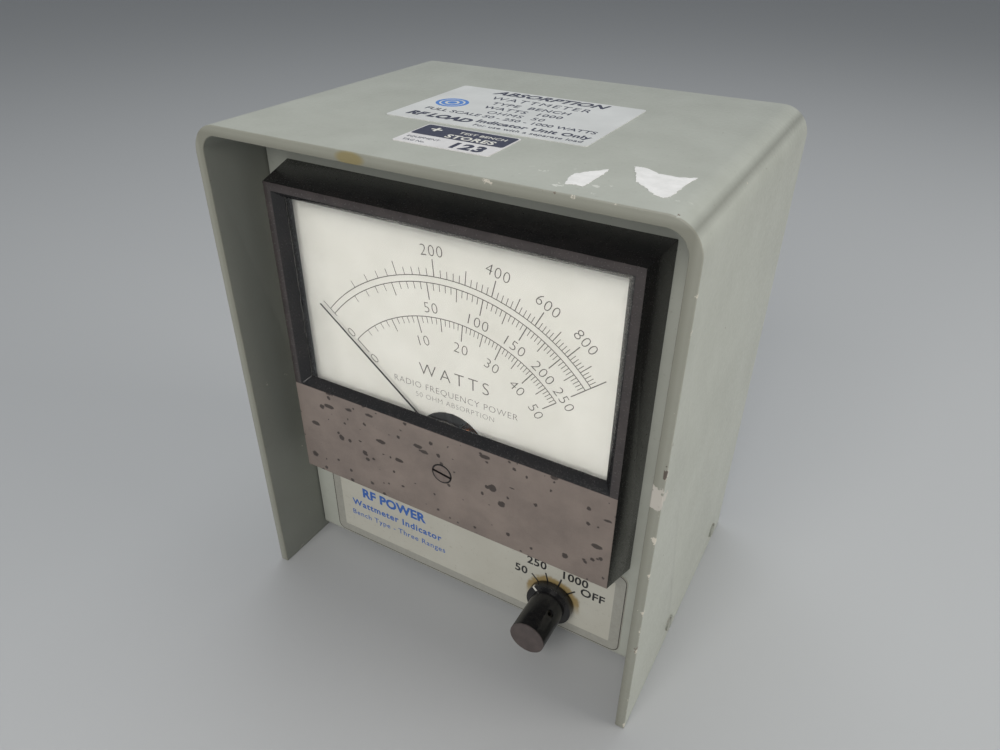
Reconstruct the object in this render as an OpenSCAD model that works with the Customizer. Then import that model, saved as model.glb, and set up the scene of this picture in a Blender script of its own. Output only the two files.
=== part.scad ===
// Bench wattmeter: an analogue panel meter and a range switch on a folded
// chassis, inside a wrap-around sheet cover whose rim stands proud of the panel.
// Millimetres. +Z is up, the dial faces -Y and +X is to the right of a viewer
// facing the dial. The origin is under the middle of the cover, on the table.

/* [Cover] */
// Width of the cover outside
cover_w = 141; // [126:0.5:176]
// Height of the cover outside
cover_h = 165.2; // [158:0.2:210]
// Depth of the cover, front rim to rear rim
cover_d = 105.1; // [98:0.1:160]
// Thickness of the cover sheet
cover_t = 3; // [1.5:0.1:4]
// Outside radius of the two long top bends
cover_r = 8.5; // [5:0.5:14]

/* [Chassis] */
// Distance from the front rim back to the panel face
panel_recess = 22.2; // [18:0.1:28]
// Distance from the rear rim in to the back panel face
back_recess = 8; // [8:0.1:16]
// Thickness of the chassis sheet
chassis_t = 1.6; // [1:0.1:2.5]
// Height of the chassis underside above the table
chassis_lift = 1.2; // [0.6:0.1:4]
// Outside radius of the two chassis bends
bend_r = 3; // [2.6:0.1:5]
// Gap between the chassis edges and the cover
chassis_gap = 0.4; // [0.2:0.1:1]
// Height of the side flanges that take the cover screws
flange_h = 13; // [11:0.5:20]
// Height of the cover screws above the table
cover_screw_z = 8; // [6.5:0.1:9]
// Distance from the front rim to the front cover screws
cover_screw_front = 39; // [34:0.5:45]
// Distance from the rear rim to the rear cover screws
cover_screw_back = 15.1; // [14:0.1:24]
// Radius of the cover screw shanks
cover_screw_r = 1.5; // [1:0.1:2]

/* [Legend plate and labels] */
// Width of the legend plate under the meter
legend_w = 118.6; // [105:0.2:121]
// Height of the legend plate
legend_h = 35.6; // [33:0.2:38]
// Height of the legend plate's lower edge above the table
legend_z = 4; // [4:0.1:5]
// Corner radius of the legend plate
legend_r = 3; // [1:0.5:5]
// Thickness of the legend plate
legend_t = 0.3; // [0.2:0.1:0.6]
// Width and depth of the nameplate on the cover's top
nameplate = [60.8, 42]; // [30:0.1:90]
// Distance from the front rim to the middle of the nameplate
nameplate_y = 54; // [45:0.5:62]
// Width and depth of the inventory tag
tag = [27.8, 17]; // [10:0.1:30]
// Distance from the front rim to the middle of the inventory tag
tag_y = 22; // [15:0.5:24]
// Thickness of both foil labels
foil_t = 0.2; // [0.1:0.05:0.4]

/* [Meter case] */
// Width and height of the case's front face
case_front_size = [113.5, 102.1]; // [80:0.1:130]
// Width and height of the case where it meets the panel
case_back_size = [118.3, 107.5]; // [80:0.1:130]
// Distance from the front rim back to the case's front face
case_recess = 9; // [6:0.1:12]
// Height of the middle of the case above the table
case_z = 97.65; // [95:0.05:100]
// Wall thickness of the case moulding
case_t = 2.4; // [1.8:0.1:3]
// Width of the flat rim round the window
window_rim = 2.4; // [1.5:0.1:4]
// Height of the window's lower edge above the table
window_z = 81.3; // [78:0.1:84]
// Depth, and sideways reach, of the bevel round the window
window_bevel = [2.9, 2.4]; // [1:0.1:5]
// Thickness of the window glass
glass_t = 1.5; // [1:0.1:2]
// How far the glass reaches beyond the bevel on every side
glass_lap = 1.6; // [1:0.1:2]
// Clearance round the glass in its rebate
glass_gap = 0.2; // [0.1:0.05:0.5]
// Thickness of the base flange behind the case moulding
base_t = 2; // [1.5:0.1:3]
// Outside radius of the round can behind the panel
can_r = 34.5; // [33:0.5:37]
// Length of the can behind the panel face
can_len = 34; // [31:0.5:44]
// Wall thickness of the can
can_t = 1.8; // [1.2:0.1:2.2]
// Height of the can's axis above the meter's pivot
can_rise = 10; // [9:0.1:12]
// Radial clearance of the can in the panel
can_gap = 0.6; // [0.3:0.1:1.5]
// Half spacing of the mounting studs across the case
stud_x = 51; // [49.5:0.1:52]
// Height of the lower studs above the case's lower edge
stud_low = 5.6; // [5:0.1:7]
// Distance of the upper studs below the upper edge of the case's front
stud_high = 2.2; // [2:0.1:2.8]
// Radius of the mounting studs
stud_r = 1.5; // [1:0.05:1.7]
// Length of the mounting studs behind the panel
stud_len = 9; // [7.5:0.5:14]
// Half spacing of the two terminals on the back of the can
terminal_x = 12.7; // [9:0.1:15]
// Height of the terminals above the can's axis
terminal_rise = 12; // [8:0.5:15]
// Radius of the terminal studs
terminal_r = 2; // [1.5:0.1:2.5]

/* [Dial and movement] */
// Height of the meter's pivot above the table
pivot_z = 72.2; // [71:0.1:74]
// Distance from the back of the window glass to the dial's printed face
dial_gap = 3.2; // [3.2:0.1:3.5]
// Thickness of the dial plate
dial_t = 0.8; // [0.5:0.1:1]
// Radius of the round hole in the dial at the pivot
dial_hole_r = 12.4; // [12:0.1:14]
// Angle of the pointer at rest, measured from straight up
rest_angle = -50; // [-55:1:-40]
// Length of the pointer from the pivot to its tip
pointer_len = 60; // [40:0.5:62]
// Width of the pointer blade
pointer_w = 0.5; // [0.3:0.05:1]
// Radius of the round bridge in front of the dial
bridge_r = 10.7; // [10.6:0.1:11.6]
// Radius of the iron core inside the moving coil
core_r = 7; // [6:0.1:7]
// Air gap between the core and each pole piece
air_gap = 2.4; // [2.3:0.1:3]
// Outside radius of the ring magnet
magnet_r = 21.5; // [20.5:0.1:22]
// Inside radius of the ring magnet
magnet_bore_r = 18; // [17:0.1:18]
// Length of the magnet along the pivot axis
magnet_len = 10; // [9:0.5:10]
// Radius of the moving coil's steel pivots
pivot_r = 0.4; // [0.3:0.05:0.5]
// Number of turns in each hairspring
spring_turns = 3; // [2:1:4]

/* [Zero adjuster] */
// Radius of the slotted zero screw
zero_r = 3.5; // [2.5:0.1:4]
// Distance of the zero screw below the pivot
zero_drop = 6.1; // [5.8:0.1:6.6]
// Distance of the zero screw's pin from its axis
zero_throw = 1; // [0.8:0.05:1.1]
// Radius of the zero screw's pin
zero_pin_r = 0.6; // [0.4:0.05:0.7]
// Width of the slot in the zero screw
zero_slot_w = 0.9; // [0.6:0.1:1.2]
// Radial clearance of every turning fit
running_gap = 0.06; // [0.01:0.01:0.1]

/* [Range switch] */
// Distance of the switch axis right of the middle
switch_x = 34.25; // [30:0.25:45]
// Height of the switch axis above the table
switch_z = 16.15; // [16.15:0.05:18]
// Radius of the knob's barrel
knob_r = 6; // [5.6:0.1:7.5]
// Radius of the knob's skirt
skirt_r = 8.1; // [7.6:0.1:9]
// Length of the knob, front face to skirt
knob_len = 18; // [15:0.5:19]
// Thickness of the knob's skirt
skirt_t = 2.7; // [2.4:0.1:4]
// Gap between the skirt and the legend plate
skirt_gap = 0.5; // [0.3:0.1:1]
// Radius of the switch shaft
shaft_r = 3; // [2:0.1:3]
// Radius of the threaded bushing
bushing_r = 4; // [3.6:0.1:4.2]
// Radius of the detent housing and of the wafer
wafer_r = 12; // [11:0.1:12.4]
// Distance between the detent housing and the wafer
wafer_gap = 9; // [6:0.5:12]
// Angle between two switch positions
step_angle = 30; // [20:1:36]

/* [Circuit board and socket] */
// Width and depth of the circuit board
board = [72, 34]; // [20:0.5:100]
// Thickness of the circuit board
board_t = 1.6; // [1:0.1:2]
// Height of the board above the chassis floor
board_rise = 6; // [4:0.5:10]
// Distance of the board's middle in front of the back panel
board_back = 22; // [20:0.5:24]
// Distance of the board's middle left of the middle
board_left = 14; // [0:0.5:24]
// Radius of the signal socket's outer barrel
socket_r = 4.75; // [4:0.05:6]
// Length of the socket behind the back panel, flange and barrel
socket_len = 8; // [6:0.5:12]
// Distance of the socket right of the middle
socket_x = 40; // [30:0.5:50]
// Height of the socket above the table
socket_z = 30; // [24:0.5:60]

/* [Hidden] */
$fn = 64;
eps = 0.01;
front_y = -cover_d / 2;
panel_y = front_y + panel_recess;
panel_in_y = panel_y + chassis_t;
back_y = cover_d / 2 - back_recess;
back_in_y = back_y - chassis_t;
floor_z = chassis_lift + chassis_t;
inner_w = cover_w - 2 * cover_t;
inner_top = cover_h - cover_t;
chassis_w = inner_w - 2 * chassis_gap;
chassis_top = inner_top - chassis_gap;
chassis_r = cover_r - cover_t - chassis_gap;
flange_inset = 2;
cover_head = [cover_screw_r + 1.3, 0.7];
cover_slot = [0.7, 0.5];
cover_screw_bite = 3;
legend_y = panel_y - legend_t;

case_y = front_y + case_recess;
case_depth = panel_y - case_y;
case_low = case_z - case_front_size[1] / 2;
window_w = case_front_size[0] - 2 * window_rim;
window_top = case_low + case_front_size[1] - window_rim;
window_h = window_top - window_z;
window_mid = (window_top + window_z) / 2;
glass_y = case_y + window_bevel[0];
glass_back = glass_y + glass_t;
glass_w = window_w + 2 * (glass_lap - window_bevel[1]);
glass_h = window_h + 2 * (glass_lap - window_bevel[1]);
apron_t = 2.5;
base_y = panel_y - base_t;
base_gap = 0.5;
boss_r = 2.5;
ledge_t = 0.8;
stud_gap = 0.3;
washer_t = 0.7;
washer_w = 2;
stud_bite = 2;
stud_nut_t = 2.6;
stud_zs = [case_low + stud_low, case_low + case_front_size[1] - stud_high];
can_z = pivot_z + can_rise;
can_back = panel_y + can_len;
can_floor = can_back - can_t;
terminal_z = can_z + terminal_rise;
terminal_head_t = 1.2;
terminal_head_w = 2;
terminal_len = 12;
terminal_nut_t = 2.4;
lug_y = can_back + terminal_nut_t + 0.3;
lug_t = 0.6;
lug_ring_w = 1.4;
lug_tail = [2.8, 10];

dial_y = glass_back + dial_gap;
dial_w = 106.6;
dial_low = 57;
dial_top = 144;
dial_screw = [42, 62];
dial_screw_r = 1;
dial_head = [1.9, 0.9];
dial_post_r = 2.5;
bridge_t = 0.6;
bridge_y = dial_y - 2.8;
pointer_y = bridge_y + bridge_t + 0.3;
pointer_t = 0.3;
magnet_y = dial_y + 9.4;
magnet_back = magnet_y + magnet_len;
pole_r = core_r + air_gap;
former_t = 0.4;
former_in = core_r + 0.6;
winding_t = 0.6;
coil_half = 3;
coil_end_gap = 0.7;
leg_x = 9;
leg_r = 1.2;
foot_x = 14.5;
foot_r = 2;
foot_t = 2;
foot_reach = 2.3;
foot_y = magnet_y - 4.5;
tie_half = 3;
rear_bridge_y = magnet_back + 3.5;
rear_bridge_t = 1.5;
jewel_r = 1.4;
jewel_slot = [0.4, 0.4];
bridge_screw_r = 0.8;
bridge_head = [1.5, 1];
pillar_out = (magnet_r + magnet_bore_r) / 2;
pillar_r = 1.6;
pillar_pin_r = 0.9;
pillar_tip_r = 1.25;
pillar_nut_t = 2;
pillar_nut_flat = 5;
holder_w = 2.2;
bite = 3;
spring_y = pointer_y + 1.5;
rear_spring_y = rear_bridge_y - 1.3;
spring_in = 1.9;
spring_w = 0.18;
spring_h = 0.6;
stud_arm = 6.4;
tab = [0.6, 1];
collar = [1.2, 1.2];
balance = [2, 1.3];
tail = 8;
spring_out = stud_arm - spring_w / 2;
zero_z = pivot_z - zero_drop;
zero_slot_depth = 0.9;
zero_slot_turn = 9;
zero_neck = 0.6;
clip_t = 0.5;
fork_wall = 1.1;
fork_gap = 0.12;
lever_t = 0.6;
lever_hub_r = 3;
lever_arm_w = 1.4;
lever_y = bridge_y - 0.3 - lever_t;

knob_back = legend_y - skirt_gap;
knob_front = knob_back - knob_len;
nut_t = 1.8;
nut_flat = 10.4;
nut_room = 0.45;
bushing_front = legend_y - nut_t - 0.2;
housing_len = 6.5;
housing_back = panel_in_y + housing_len;
wafer_y = housing_back + wafer_gap;
wafer_t = 1.6;
rotor_r = 6.2;
rotor_gap = 0.3;
shaft_back = wafer_y + wafer_t + 2;
shaft_front = knob_front + 4;
knob_fit = 0.03;
off_angle = 1.5 * step_angle;
set_screw_r = 1.25;
set_screw_y = knob_front + 9.2;
set_screw_turn = 85;
tie_x = 8.9;
tie_r = 1;
tie_head = [1.9, 1.2];
detent_y = panel_in_y + 2.6;
detent_t = 2.2;
detent_r = 6.8;
hollow_r = 1.1;
clip_blade = [1.6, 0.4];

board_z = floor_z + board_rise;
board_mid = [-board_left, back_in_y - board_back];
board_hole = [board[0] / 2 - 4, board[1] / 2 - 4];
board_screw_r = 1.25;
standoff_r = 2.8;
wire_r = 0.6;
lead_y = lug_y + lug_t + wire_r;
body_r = 1.6;
body_len = 9;
resistor_pitch = 8;
bore_wall = 1.6;
contact_r = 0.9;
socket_tail = 7;
socket_tail_r = socket_r - 0.4;
socket_flange = [2.2, 2];
socket_nut_t = 2.2;
thread_clear = 0.1;

// Puts its children at a place with their own +Z turned to the rear (+Y).
module along_y(x, y, z) {
    translate([x, y, z]) rotate([-90, 0, 0]) children();
}

// A round rod running to the rear from a place.
module rod_y(x, y, z, r, len, fn = 48) {
    along_y(x, y, z) cylinder(r = r, h = len, $fn = fn);
}

// A rectangle with round corners, centred.
module round_rect(w, h, r) {
    square([w - 2 * r, h], center = true);
    square([w, h - 2 * r], center = true);
    for (sx = [-1, 1], sy = [-1, 1])
        translate([sx * (w / 2 - r), sy * (h / 2 - r)]) circle(r = r);
}

// An upright arch outline: square feet on the axis and two round top corners.
module arch(w, h, r) {
    translate([-w / 2, 0]) square([w, h - r]);
    translate([-w / 2 + r, 0]) square([w - 2 * r, h]);
    for (s = [-1, 1]) translate([s * (w / 2 - r), h - r]) circle(r = r);
}

// Stands an XZ outline up and runs it to the rear from y for len.
module slab_y(y, len) {
    translate([0, y + len, 0]) rotate([90, 0, 0]) linear_extrude(len) children();
}

// A hexagon nut or screw head facing the rear, with an optional bore.
module hex_y(x, y, z, flat, len, bore_r = 0) {
    along_y(x, y, z) difference() {
        cylinder(r = flat / sqrt(3), h = len, $fn = 6);
        if (bore_r > 0) translate([0, 0, -1]) cylinder(r = bore_r, h = len + 2, $fn = 48);
    }
}

// A slab shaped like a rectangle that grows evenly from the front to the back.
module tapered_slab(size_a, size_b, y, len, z) {
    hull() {
        translate([0, y + eps / 2, z]) cube([size_a[0], eps, size_a[1]], center = true);
        translate([0, y + len - eps / 2, z]) cube([size_b[0], eps, size_b[1]], center = true);
    }
}

module each_stud() {
    for (s = [-1, 1], z = stud_zs) translate([s * stud_x, 0, z]) children();
}

module each_cover_screw() {
    ys = [front_y + cover_screw_front, cover_d / 2 - cover_screw_back];
    for (s = [-1, 1], y = ys)
        translate([s * cover_w / 2, y, cover_screw_z]) rotate([0, -s * 90, 0]) children();
}

// ---- enclosure ----

module cover() color([0.66, 0.68, 0.63]) difference() {
    slab_y(front_y, cover_d) arch(cover_w, cover_h, cover_r);
    translate([0, 0, -eps])
        slab_y(front_y - 1, cover_d + 2) arch(inner_w, inner_top + eps, cover_r - cover_t);
    each_cover_screw() translate([0, 0, -1])
        cylinder(r = cover_screw_r + thread_clear, h = cover_t + 2, $fn = 32);
}

// Side view of the folded sheet: panel, floor and back with two round bends.
module chassis_outline(inset) {
    low = chassis_lift + inset;
    len = back_y - panel_y - 2 * inset;
    r = bend_r - inset;
    translate([panel_y + inset, 0]) {
        translate([0, low + r]) square([len, cover_h]);
        translate([r, low]) square([len - 2 * r, cover_h]);
        for (y = [r, len - r]) translate([y, low + r]) circle(r = r);
    }
}

module chassis() color([0.66, 0.68, 0.63]) difference() {
    intersection() {
        union() {
            translate([-chassis_w / 2, 0, 0]) rotate([90, 0, 90]) linear_extrude(chassis_w)
                difference() {
                    chassis_outline(0);
                    chassis_outline(chassis_t);
                }
            for (s = [-1, 1])
                translate([s * (chassis_w - chassis_t) / 2, (panel_in_y + back_in_y) / 2,
                           floor_z + flange_h / 2 - 0.2])
                    cube([chassis_t, back_in_y - panel_in_y - flange_inset, flange_h + 0.4], center = true);
        }
        slab_y(front_y, cover_d) translate([0, chassis_lift])
            arch(chassis_w, chassis_top - chassis_lift, chassis_r);
    }
    rod_y(0, panel_y - 1, can_z, can_r + can_gap, chassis_t + 2);
    each_stud() rod_y(0, panel_y - 1, 0, stud_r + stud_gap, chassis_t + 2);
    rod_y(switch_x, panel_y - 1, switch_z, bushing_r + stud_gap, chassis_t + 2);
    rod_y(socket_x, back_in_y - 1, socket_z, socket_tail_r + thread_clear, chassis_t + 2);
    each_cover_screw() cylinder(r = cover_screw_r + thread_clear, h = cover_t + 4, $fn = 32);
    for (sx = [-1, 1], sy = [-1, 1])
        translate([board_mid[0] + sx * board_hole[0], board_mid[1] + sy * board_hole[1],
                   chassis_lift - 1])
            cylinder(r = board_screw_r + thread_clear, h = chassis_t + 2, $fn = 32);
}

module cover_screws() color([0.45, 0.45, 0.42]) each_cover_screw() {
    difference() {
        translate([0, 0, -cover_head[1]]) cylinder(r = cover_head[0], h = cover_head[1], $fn = 32);
        translate([-cover_head[0] - 1, -cover_slot[0] / 2, -cover_head[1] - cover_slot[1]])
            cube([2 * cover_head[0] + 2, cover_slot[0], cover_head[1] + 0.2]);
    }
    cylinder(r = cover_screw_r, h = cover_t + chassis_t + cover_screw_bite, $fn = 32);
}

module legend_plate() color([0.73, 0.72, 0.67]) difference() {
    slab_y(legend_y, legend_t)
        translate([0, legend_z + legend_h / 2]) round_rect(legend_w, legend_h, legend_r);
    rod_y(switch_x, legend_y - 1, switch_z, bushing_r + stud_gap, legend_t + 2);
}

module nameplate_label() color([0.74, 0.75, 0.74])
    translate([0, front_y + nameplate_y, cover_h]) linear_extrude(foil_t)
        round_rect(nameplate[0], nameplate[1], 1);

module inventory_tag() color([0.82, 0.82, 0.82])
    translate([0, front_y + tag_y, cover_h]) linear_extrude(foil_t)
        round_rect(tag[0], tag[1], 0.8);

// ---- meter case ----

module meter_case() color([0.16, 0.14, 0.14]) difference() {
    union() {
        difference() {
            tapered_slab(case_front_size, case_back_size, case_y, case_depth, case_z);
            tapered_slab(case_front_size - 2 * [case_t, case_t],
                         case_back_size - 2 * [case_t, case_t],
                         case_y + apron_t, case_depth - apron_t + 1, case_z);
        }
        each_stud() rod_y(0, case_y + 1, 0, boss_r, base_y - case_y - 1);
        // ledge that backs the bevel and carries the glass
        translate([0, glass_y, window_mid])
            cube([window_w + 2, ledge_t, window_h + 2], center = true);
    }
    hull() {
        translate([0, case_y - eps, window_mid]) cube([window_w, eps, window_h], center = true);
        translate([0, glass_y + 2, window_mid])
            cube([window_w - 2 * window_bevel[1] * (1 + 2 / window_bevel[0]), eps,
                  window_h - 2 * window_bevel[1] * (1 + 2 / window_bevel[0])], center = true);
    }
    translate([-glass_w / 2 - glass_gap, glass_y, window_mid - glass_h / 2 - glass_gap])
        cube([glass_w + 2 * glass_gap, glass_t + glass_gap, glass_h + 2 * glass_gap]);
    rod_y(0, case_y - 1, zero_z, zero_r + running_gap, apron_t + 2);
    each_stud() rod_y(0, glass_back + stud_bite, 0, stud_r, case_depth);
}

module window_glass() color([0.8, 0.85, 0.85, 0.35])
    translate([0, glass_y + glass_t / 2, window_mid])
        cube([glass_w, glass_t, glass_h], center = true);

module meter_base() color([0.14, 0.13, 0.13]) difference() {
    base = case_back_size - 2 * [case_t + base_gap + 0.4, case_t + base_gap + 0.6];
    union() {
        translate([0, base_y + base_t / 2, case_z]) cube([base[0], base_t, base[1]], center = true);
        rod_y(0, base_y, can_z, can_r, can_back - base_y);
    }
    rod_y(0, base_y - 1, can_z, can_r - can_t, can_floor - base_y + 1);
    each_stud() rod_y(0, base_y - 1, 0, stud_r + stud_gap, base_t + 2);
    for (s = [-1, 1]) {
        rod_y(s * terminal_x, can_floor - 1, terminal_z, terminal_r + thread_clear, can_t + 2);
        rod_y(0, can_floor - 1, pivot_z + s * pillar_out, pillar_tip_r + thread_clear, can_t + 2);
        rod_y(s * dial_screw[0], base_y - 1, dial_screw[1], dial_screw_r, base_t + 2);
    }
}

module mounting_studs() color([0.7, 0.68, 0.6]) each_stud()
    rod_y(0, glass_back + stud_bite, 0, stud_r, panel_in_y + stud_len - glass_back - stud_bite);

module mounting_washers() color([0.7, 0.7, 0.7]) each_stud() along_y(0, panel_in_y, 0)
    difference() {
        cylinder(r = stud_r + washer_w, h = washer_t, $fn = 48);
        translate([0, 0, -1]) cylinder(r = stud_r + 0.2, h = 3, $fn = 48);
    }

module mounting_nuts() color([0.72, 0.7, 0.62]) each_stud()
    hex_y(0, panel_in_y + washer_t, 0, 4 * stud_r, stud_nut_t, stud_r);

// ---- dial and movement ----

module dial_plate() color([0.86, 0.85, 0.81]) difference() {
    translate([-dial_w / 2, dial_y, dial_low]) cube([dial_w, dial_t, dial_top - dial_low]);
    rod_y(0, dial_y - 1, pivot_z, dial_hole_r, dial_t + 2);
    for (s = [-1, 1]) rod_y(s * dial_screw[0], dial_y - 1, dial_screw[1],
                               dial_screw_r + 0.2, dial_t + 2);
}

module dial_posts() color([0.75, 0.62, 0.35]) for (s = [-1, 1]) difference() {
    rod_y(s * dial_screw[0], dial_y + dial_t, dial_screw[1], dial_post_r, base_y - dial_y - dial_t);
    rod_y(s * dial_screw[0], dial_y, dial_screw[1], dial_screw_r, base_y - dial_y + 1);
}

module dial_screws() color([0.7, 0.7, 0.7]) for (s = [-1, 1]) difference() {
    union() {
        rod_y(s * dial_screw[0], dial_y - dial_head[1], dial_screw[1], dial_head[0], dial_head[1]);
        rod_y(s * dial_screw[0], dial_y - 0.5, dial_screw[1], dial_screw_r,
              base_y + base_t - dial_y);
    }
    translate([s * dial_screw[0], dial_y - dial_head[1], dial_screw[1]])
        cube([6, dial_head[1], 0.5], center = true);
}

module zero_screw() color([0.45, 0.38, 0.34]) {
    difference() {
        rod_y(0, case_y, zero_z, zero_r, apron_t + 0.05);
        translate([0, case_y, zero_z]) rotate([0, zero_slot_turn, 0])
            cube([2 * zero_r + 2, 2 * zero_slot_depth, zero_slot_w], center = true);
    }
    rod_y(0, case_y + apron_t, zero_z, zero_r - 1, zero_neck + 0.05);
    rod_y(0, case_y + apron_t + zero_neck, zero_z - zero_throw, zero_pin_r,
          lever_y + lever_t - case_y - apron_t - zero_neck);
}

module zero_screw_clip() color([0.6, 0.6, 0.6]) along_y(0, case_y + apron_t + 0.05, zero_z)
    difference() {
        cylinder(r = zero_r + 1, h = clip_t);
        translate([0, 0, -1]) cylinder(r = zero_r - 1, h = 3);
    }

// Thin arm that turns about the front jewel screw. The fork at its foot takes the
// zero screw's pin, and the bent tab at its side holds the front hairspring.
module zero_lever() color([0.75, 0.62, 0.35]) difference() {
    fork_w = 2 * (zero_pin_r + fork_wall);
    union() {
        rod_y(0, lever_y, pivot_z, lever_hub_r, lever_t);
        translate([-fork_w / 2, lever_y, zero_z - zero_throw - 2])
            cube([fork_w, lever_t, zero_drop + zero_throw + 1]);
        translate([1, lever_y, pivot_z - lever_arm_w / 2])
            cube([stud_arm + tab[0] - 1, lever_t, lever_arm_w]);
        translate([stud_arm, lever_y, pivot_z - tab[1] / 2])
            cube([tab[0], spring_y + spring_h - lever_y, tab[1]]);
    }
    rod_y(0, lever_y - 1, pivot_z, jewel_r + running_gap, lever_t + 2);
    translate([-zero_pin_r - fork_gap, lever_y - 1, zero_z - zero_throw - 3])
        cube([2 * (zero_pin_r + fork_gap), lever_t + 2, 3 + 1.4]);
}

module front_bridge() color([0.12, 0.11, 0.11]) difference() {
    union() {
        rod_y(0, bridge_y, pivot_z, bridge_r, bridge_t, 96);
        for (s = [-1, 1]) {
            rod_y(s * leg_x, bridge_y + bridge_t - eps, pivot_z, leg_r,
                  foot_y - bridge_y - bridge_t + 1);
            translate([s * (leg_x + foot_x) / 2, foot_y + foot_t / 2, pivot_z])
                cube([foot_x - leg_x + 2 * foot_reach, foot_t, 2 * tie_half], center = true);
            rod_y(s * foot_x, foot_y + foot_t - eps, pivot_z, foot_r,
                  magnet_y - foot_y - foot_t + eps);
        }
    }
    rod_y(0, bridge_y - 1, pivot_z, jewel_r, bridge_t + 2);
    translate([stud_arm + 0.3, bridge_y + bridge_t / 2, pivot_z])
        cube([1.6, 3, 3.2], center = true);
    for (s = [-1, 1])
        rod_y(s * foot_x, foot_y - 1, pivot_z, bridge_screw_r, magnet_y - foot_y + 2);
}

module rear_bridge() color([0.75, 0.62, 0.35]) difference() {
    union() {
        translate([-foot_x - foot_reach, rear_bridge_y, pivot_z - tie_half])
            cube([2 * (foot_x + foot_reach), rear_bridge_t, 2 * tie_half]);
        for (s = [-1, 1])
            rod_y(s * foot_x, magnet_back, pivot_z, foot_r, rear_bridge_y - magnet_back + eps);
        translate([stud_arm, rear_spring_y, pivot_z - tab[1] / 2])
            cube([tab[0], rear_bridge_y - rear_spring_y + eps, tab[1]]);
    }
    rod_y(0, rear_bridge_y - 1, pivot_z, jewel_r, rear_bridge_t + 2);
    for (s = [-1, 1]) rod_y(s * foot_x, magnet_back - 1, pivot_z, bridge_screw_r, 10);
}

module bridge_screws() color([0.7, 0.7, 0.72]) for (s = [-1, 1]) {
    bridge_back = rear_bridge_y + rear_bridge_t;
    rod_y(s * foot_x, foot_y - bridge_head[1], pivot_z, bridge_head[0], bridge_head[1]);
    rod_y(s * foot_x, foot_y - 0.5, pivot_z, bridge_screw_r, magnet_y - foot_y + bite + 0.5);
    rod_y(s * foot_x, magnet_back - bite, pivot_z, bridge_screw_r,
          bridge_back - magnet_back + bite + 0.5);
    rod_y(s * foot_x, bridge_back, pivot_z, bridge_head[0], bridge_head[1]);
}

module jewel_screws() color([0.78, 0.72, 0.5]) {
    difference() {
        rod_y(0, lever_y - 0.8, pivot_z, jewel_r, bridge_y + bridge_t - lever_y + 0.8);
        rod_y(0, bridge_y, pivot_z, pivot_r + running_gap, 3, 32);
        translate([-jewel_r - 1, lever_y - 0.8 - jewel_slot[1], pivot_z - jewel_slot[0] / 2])
            cube([2 * jewel_r + 2, 2 * jewel_slot[1], jewel_slot[0]]);
    }
    difference() {
        rod_y(0, rear_bridge_y - 0.3, pivot_z, jewel_r, rear_bridge_t + 1.3);
        rod_y(0, rear_bridge_y - 1, pivot_z, pivot_r + running_gap, 1.5, 32);
    }
}

module magnet_ring() color([0.3, 0.3, 0.32]) along_y(0, magnet_y, pivot_z) difference() {
    cylinder(r = magnet_r, h = magnet_len, $fn = 96);
    translate([0, 0, -1]) cylinder(r = magnet_bore_r, h = magnet_len + 2, $fn = 96);
    for (s = [-1, 1]) translate([0, s * pillar_out, -1])
        cylinder(r = pillar_pin_r, h = magnet_len + 2, $fn = 32);
}

module pole_pieces() color([0.45, 0.45, 0.47]) along_y(0, magnet_y, pivot_z) difference() {
    cylinder(r = magnet_bore_r, h = magnet_len, $fn = 96);
    translate([0, 0, -1]) cylinder(r = pole_r, h = magnet_len + 2, $fn = 96);
    for (s = [-1, 1]) translate([0, s * magnet_bore_r, magnet_len / 2])
        cube([2 * pole_r * 0.62, 2 * magnet_bore_r - 2 * pole_r * 0.5, magnet_len + 2], center = true);
    for (s = [-1, 1]) translate([s * foot_x, 0, 0]) {
        translate([0, 0, -1]) cylinder(r = bridge_screw_r, h = bite + 1, $fn = 32);
        translate([0, 0, magnet_len - bite]) cylinder(r = bridge_screw_r, h = bite + 1, $fn = 32);
    }
}

module iron_core() color([0.5, 0.5, 0.52])
    rod_y(0, magnet_y + 0.5, pivot_z, core_r, magnet_len - 1, 64);

module core_holder() color([0.75, 0.62, 0.35]) difference() {
    translate([-holder_w / 2, magnet_y + 2, pivot_z - magnet_bore_r + 0.2])
        cube([holder_w, magnet_len - 4, 2 * magnet_bore_r - 0.4]);
    rod_y(0, magnet_y, pivot_z, core_r, magnet_len, 64);
}

// Two pillars carry the magnet: thin pins in the ring, threaded tips in the can's back.
module movement_pillars() color([0.7, 0.7, 0.7]) for (s = [-1, 1]) {
    z = pivot_z + s * pillar_out;
    rod_y(0, magnet_back, z, pillar_r, can_floor - magnet_back);
    rod_y(0, magnet_y + 2, z, pillar_pin_r, magnet_len - 2 + 0.1, 32);
    rod_y(0, can_floor - 0.1, z, pillar_tip_r, can_t + pillar_nut_t + 0.6, 32);
}

module pillar_nuts() color([0.72, 0.7, 0.62]) for (s = [-1, 1])
    hex_y(0, can_back, pivot_z + s * pillar_out, pillar_nut_flat, pillar_nut_t, pillar_tip_r);

// The moving parts are drawn pointing straight up and turned to the rest angle.
module at_rest() {
    translate([0, 0, pivot_z]) rotate([0, rest_angle, 0]) children();
}

// Blade of the pointer from hub to tip and a weighted tail that balances it.
module pointer() color([0.1, 0.1, 0.1]) at_rest() difference() {
    union() {
        slab_y(pointer_y, pointer_t) polygon([
            [-0.7, 0], [-pointer_w / 2, 14], [-0.12, pointer_len], [0.12, pointer_len],
            [pointer_w / 2, 14], [0.7, 0], [0.9, -tail], [-0.9, -tail]]);
        rod_y(0, pointer_y, 0, spring_in - 0.1, 1);
        rod_y(0, pointer_y - 0.1, -tail, balance[0], balance[1]);
    }
    rod_y(0, pointer_y - 2, 0, pivot_r, 6, 32);
}

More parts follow.
